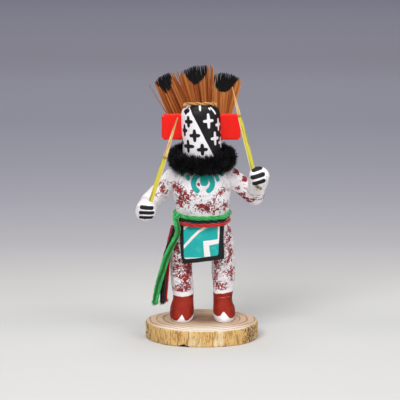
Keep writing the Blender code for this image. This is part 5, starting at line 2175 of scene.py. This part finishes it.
@dataclass
class Flap:
    """The painted suede flap that hangs from the sash."""

    wide: float = 18.6
    top: float = 45.6
    left_foot: float = 25.3
    right_foot: float = 27.2
    thick: float = 0.5
    stands_off: float = 9.95
    curve: float = 1.7
    corners: Spot = (1.3, 0.8)
    field: tuple[Spot, ...] = (
        (-7.85, 54.0), (-7.8, 35.4), (-7.2, 34.4), (6.3, 36.0), (6.9, 36.6), (7.5, 48.3), (7.6, 54.0),
    )
    shapes: tuple[tuple[Spot, ...], ...] = (
        ((-7.9, 46.8), (-7.9, 50.6), (-4.2, 50.6), (-5.9, 48.6)),
        ((0.4, 42.3), (7.1, 43.1), (7.1, 41.2), (2.9, 40.4), (3.6, 35.3), (1.0, 34.8)),
    )
    lines: tuple[tuple[tuple[Spot, ...], float], ...] = (
        (((4.8, 50.0), (1.69, 48.3), (-1.37, 46.6), (-4.2, 43.75), (-6.5, 41.1), (-8.4, 38.8)), 0.55),
        (((7.05, 50.0), (7.0, 42.5)), 0.4),
        (((-7.6, 34.75), (1.2, 35.05)), 0.3),
    )

    def build(self, finish: FlapPaint) -> Piece:
        """Makes the flap as one sheet, wavy at its foot, and gives it thickness.

        Args:
            finish: the painted suede.

        Returns:
            The piece.
        """
        columns, rows = 150, 170
        steps = np.linspace(-0.5, 0.5, columns), np.linspace(0, 1, rows)
        across, up = np.meshgrid(*steps, indexing="ij")
        x = across * self.wide
        foot = self.left_foot + (self.right_foot - self.left_foot) * (across + 0.5)
        corner = np.where(across < 0, self.corners[0], self.corners[1])
        edge = np.clip((np.abs(x) - (self.wide / 2 - corner)) / corner, 0, 1)
        foot = foot + corner * (1 - np.sqrt(1 - 0.96 * edge**2))
        z = foot + (self.top - foot) * up
        hang = (1 - up) ** 1.5
        waves = 0.22 * np.sin(x * 0.55 + 0.6) + 0.1 * np.sin(z * 0.5 + x * 0.3) - 0.12
        y = -self.stands_off + self.curve * (2 * x / self.wide) ** 2 + waves * hang
        x = x + 0.12 * np.sin(z * 0.45 + 1.0) * np.sign(across) * np.abs(across * 2) ** 4
        x = x + np.clip(-2 * across, 0, 1) * (1.2 * (1 - up) ** 2.5 - 0.45)
        points = np.stack([x, y + AXIS_Y, z + SOLE_Z], axis=-1).reshape(-1, 3)
        quads = grid_faces(columns, rows, around=False)
        numbers = np.arange(columns * rows).reshape(columns, rows)
        rim = np.concatenate([numbers[0], numbers[1:, -1], numbers[-1, -2::-1], numbers[-2:0:-1, 0]])
        ahead, count = np.roll(rim, -1), columns * rows
        walls = np.stack([rim, rim + count, ahead + count, ahead], axis=1)
        faces = np.vstack([quads, quads[:, ::-1] + count, walls])
        border, lines = self.pattern(points[:, 0], points[:, 2])
        fields = {
            "border": np.tile(border, 2),
            "lines": np.tile(lines, 2),
            "behind": np.repeat([0.0, 1.0], count),
        }
        skins = np.vstack([points, points + (0, self.thick, 0)])
        piece = make_piece("painted_flap", skins, faces, finish.material(), fields)
        stand_in(piece, "apron")
        return piece

    def pattern(self, x: Array, z: Array) -> tuple[Array, Array]:
        """The black border and the white lines.

        Args:
            x: where each point is across the doll.
            z: how high it is.

        Returns:
            Their signed distances.
        """
        lines = [line_distance(x, z, line, half) for line, half in self.lines]
        lines += [shape_distance(x, z, shape) for shape in self.shapes]
        return -shape_distance(x, z, self.field), np.min(lines, axis=0)


@dataclass
class Slice:
    """The slice of branch that the doll stands on."""

    wide: float = 48.0
    deep: float = 44.0
    waves: tuple[tuple[int, float, float], ...] = (
        (2, 0.004, 0.7), (3, 0.010, 2.1), (5, 0.006, 4.4), (9, 0.003, 1.3),
    )
    fibres: tuple[Spot, ...] = (
        (37, 0.05), (61, 0.05), (97, 0.045), (143, 0.035), (201, 0.03),
    )
    bites: tuple[Point, ...] = (
        (-7.9, 0.0, 1.1), (-9.2, -0.1, 0.6), (-6.4, -0.2, 0.8), (9.0, -0.5, 0.7), (-15.0, -0.5, 0.75),
    )
    scars: tuple[Point, ...] = ((20.5, 3.2, 1.0), (-23.4, 1.6, 0.75))
    pith: Spot = (1.5, 3.5)
    around: int = 420
    face_rows: int = 60
    side_rows: int = 26

    def outline(self, angle: Array) -> Array:
        """How far out the rim is: an oval with a few waves."""
        wave = 1 + sum(size * np.cos(turns * angle + shift) for turns, size, shift in self.waves)
        across, back = self.wide / 2 * wave * np.cos(angle), self.deep / 2 * wave * np.sin(angle)
        return np.stack([across, back], axis=-1)

    def build(self, finish: SliceWood) -> Piece:
        """Makes the underside, the fibrous side and the sawn top as rows of one skin.

        A row is the outline times its own share, at its own height. The side's rows move in and
        out with the fibres, which are waves of the angle, and a few notches bite its lower edge.

        Args:
            finish: the wood.

        Returns:
            The piece.
        """
        angle = full_turn(self.around)
        heights = np.linspace(0.0, BASE_TOP, self.side_rows)
        inner = np.linspace(0.04, 0.985, self.face_rows)
        near_edge = np.minimum(1, np.minimum(heights, BASE_TOP - heights) / 0.5)
        side = 1 - 0.012 * np.cos(math.pi / 2 * near_edge) ** 2
        shares = np.concatenate([inner, side, inner[::-1]])
        levels = np.concatenate([inner * 0, heights, inner * 0 + BASE_TOP])
        points = np.empty((len(shares), self.around, 3))
        points[..., :2] = self.outline(angle)[None] * shares[:, None, None]
        points[..., 2] = levels[:, None]
        above_side = self.face_rows + self.side_rows
        chance = np.random.default_rng(23)
        fibres = 0
        for turns, size in self.fibres:
            shift = chance.uniform(0, 6.28) + 0.2 * heights[:, None] * chance.normal()
            fibres = fibres + size * np.sin(turns * angle + shift)
        points[self.face_rows : above_side, :, :2] *= (1 - (0.06 - fibres) / (self.wide / 2))[..., None]
        notch = self.notches(points[..., 0], points[..., 2])
        points[..., 1] += 0.8 * np.clip(-notch, 0, 0.6) * (points[..., 1] < -8)
        flat, faces = capped(points.reshape(-1, 3), len(shares), self.around)
        x, y = flat[:, 0], flat[:, 1]
        away = np.hypot(x - self.pith[0], (y - self.pith[1]) * 1.08)
        scar = sum(weight * np.exp(-(((x - at) / wide) ** 2)) for at, wide, weight in self.scars)
        fields = {
            "radius": away + 0.5 * ripple(flat * (1, 1, 0), 16.0, 6),
            # Painted light on the top: 0 towards the back, rising to 1 at the front edge.
            "front": np.clip((-y - 7.0) / 9.0, 0, 1),
            "scar": scar * (y < 2),
            "notch": np.where(y < -8, np.concatenate([notch.ravel(), [FAR, FAR]]), FAR),
        }
        piece = make_piece("branch_slice", flat, faces, finish.top(), fields)
        number = np.arange(len(faces))
        row = number // self.around
        on_top = (row >= above_side) & (number < (len(shares) - 1) * self.around)
        on_face = on_top | (number >= len(shares) * self.around) | (row < self.face_rows - 2)
        piece.data.materials.append(finish.side())
        piece.data.polygons.foreach_set("material_index", np.where(on_face, 0, 1).astype(np.int32))
        return stand_in(piece, "base")

    def notches(self, x: Array, z: Array) -> Array:
        """Signed distance to the small ragged bites low on the front."""
        bites = [np.hypot((x - at) * 0.7, z - low) - size for at, low, size in self.bites]
        return np.min(bites, axis=0)


@dataclass(frozen=True)
class Lamp:
    """A soft area light that looks at the doll's middle, or at the far table."""

    name: str
    place: Point
    size: Spot
    power: float
    aim: Point = (0.0, 0.0, 0.055)
    spread: float = 180.0

    def build(self) -> None:
        """Adds the light. Its places are in metres, unlike the doll's."""
        data = bpy.data.lights.new(self.name, "AREA")
        data.shape = "RECTANGLE"
        data.size, data.size_y = self.size
        data.energy = self.power
        data.spread = math.radians(self.spread)
        lamp = bpy.data.objects.new(self.name, data)
        lamp.location = self.place
        way = Vector(self.aim) - Vector(self.place)
        lamp.rotation_euler = way.to_track_quat("-Z", "Y").to_euler()
        bpy.context.scene.collection.objects.link(lamp)


@dataclass
class Studio:
    """The pale sweep, the soft lights and the camera."""

    camera: Point = (-0.9, -800.0, 191.5)
    pitch: float = 9.39
    lens: float = 171.5
    lamps: tuple[Lamp, ...] = (
        Lamp("key", (-0.28, -0.6, 0.75), (0.45, 0.45), 6.4),
        Lamp("fill", (0.6, -0.5, 0.45), (0.5, 0.5), 2.9),
        Lamp("overhead", (0.0, 0.15, 0.95), (0.6, 0.6), 4.4),
        Lamp("backdrop", (0.0, 2.1, 1.4), (2.6, 0.8), 2.5, (0.0, 2.4, 0.0), 110.0),
    )
    far: float = 0.3203
    near: float = 1.4085
    stops: tuple[tuple[float, str], ...] = (
        (0.0, "#C4C2D7"), (0.091, "#DBD9EA"), (0.195, "#DAD9E9"), (0.299, "#BDBDCC"), (0.403, "#B2B2BD"),
        (0.506, "#B3B1BA"), (0.61, "#BBB8BC"), (0.714, "#CDCCC9"), (0.766, "#D2D1CE"), (0.818, "#CBCBC9"),
        (0.87, "#D1D0CE"), (0.922, "#D1D0CE"), (1.0, "#D1D0CE"),
    )

    def build(self) -> None:
        """Sets the camera first, then the floor and the lights."""
        data = bpy.data.cameras.new("camera")
        data.lens = self.lens
        data.sensor_width = 36.0
        data.clip_start, data.clip_end = 0.05, 40.0
        eye = bpy.data.objects.new("camera", data)
        eye.location = [value * MM for value in self.camera]
        eye.rotation_euler = (math.radians(90 - self.pitch), 0, 0)
        scene = bpy.context.scene
        scene.collection.objects.link(eye)
        scene.camera = eye
        self.floor()
        for lamp in self.lamps:
            lamp.build()
        world = bpy.data.worlds.new("studio")
        world.use_nodes = True
        shade = world.node_tree.nodes["Background"]
        shade.inputs["Color"].default_value = linear("#E6E6EC")
        shade.inputs["Strength"].default_value = 0.2
        scene.world = world
        scene.view_settings.view_transform = "Standard"

    def floor(self) -> None:
        """A wide level floor that darkens with distance, as a lit table does before a dim room."""
        radii = np.array([0.1, 60, 120, 300, 900, 3000, 9000, 20000.0])[:, None]
        angle = full_turn(96)
        level = np.zeros((len(radii), 96))
        points = np.stack([radii * np.cos(angle), radii * np.sin(angle), level], axis=-1).reshape(-1, 3)
        faces = grid_faces(len(radii), 96)[:, ::-1]
        make_piece("table", points, faces, self.table_top(), {})

    def table_top(self) -> Material:
        """Pale near the doll and grey blue far off, as the light falls away behind it.

        The ramp runs over the inverse of the distance from a line in front of the doll, which
        spreads its steps evenly over the far floor.
        """
        paint = Palette("table_sweep", 0.8)
        parts = add_node(paint.tree, "ShaderNodeSeparateXYZ", links={0: paint.place})
        away = paint.calc(Op.MAXIMUM, paint.calc(Op.ADD, parts.outputs["Y"], 0.8), 0.6)
        span = self.near - self.far
        nearness = paint.calc(Op.DIVIDE, 1.0, away)
        share = paint.calc(Op.MULTIPLY_ADD, nearness, 1 / span, -self.far / span)
        ramp = add_node(paint.tree, "ShaderNodeValToRGB", links={0: share})
        steps = ramp.color_ramp.elements
        steps.remove(steps[1])
        steps[0].position, steps[0].color = 0.0, linear(self.stops[0][1])
        for position, colour in self.stops[1:]:
            steps.new(position).color = linear(colour)
        paint.colour = ramp.outputs["Color"]
        return paint.finish()


def main() -> None:
    """Builds the studio and the doll in order and reports each piece."""
    logging.basicConfig(level=logging.INFO, format="%(name)s: %(message)s")
    Studio().build()
    paint, carving = BodyPaint(), Carving()
    pieces = carving.build(paint)
    pieces += [arm.build(paint) for arm in (LEFT_ARM, RIGHT_ARM)]
    pieces += Ears().build(EarPaint(), carving.head_lean, carving.head_pivot)
    pieces.append(Ruff().build(Pile()))
    barbs = Barbs().material()
    pieces += [feather.build(barbs) for feather in FEATHERS]
    pieces.append(Headband().build(Yarn("tan_braid", "#D9A25C", "#8E5A22").material()))
    skin = LeafSkin().material()
    pieces += [leaf.build(skin) for leaf in LEAVES]
    pieces.append(Flap().build(FlapPaint()))
    yarns = {
        "green": Yarn("green_acrylic_yarn", "#3CCC64", "#094A1C").material(),
        "black": Yarn("black_acrylic_yarn", "#1B1A1D", "#040405").material(),
        "red": Yarn("red_acrylic_yarn", "#E02422", "#7E0D0E").material(),
    }
    pieces += Sash().build(yarns)
    pieces.append(Slice().build(SliceWood()))
    for piece in pieces:
        LOG.info("%s: %d faces", piece.name, len(piece.data.polygons))


if __name__ == "__main__":
    main()
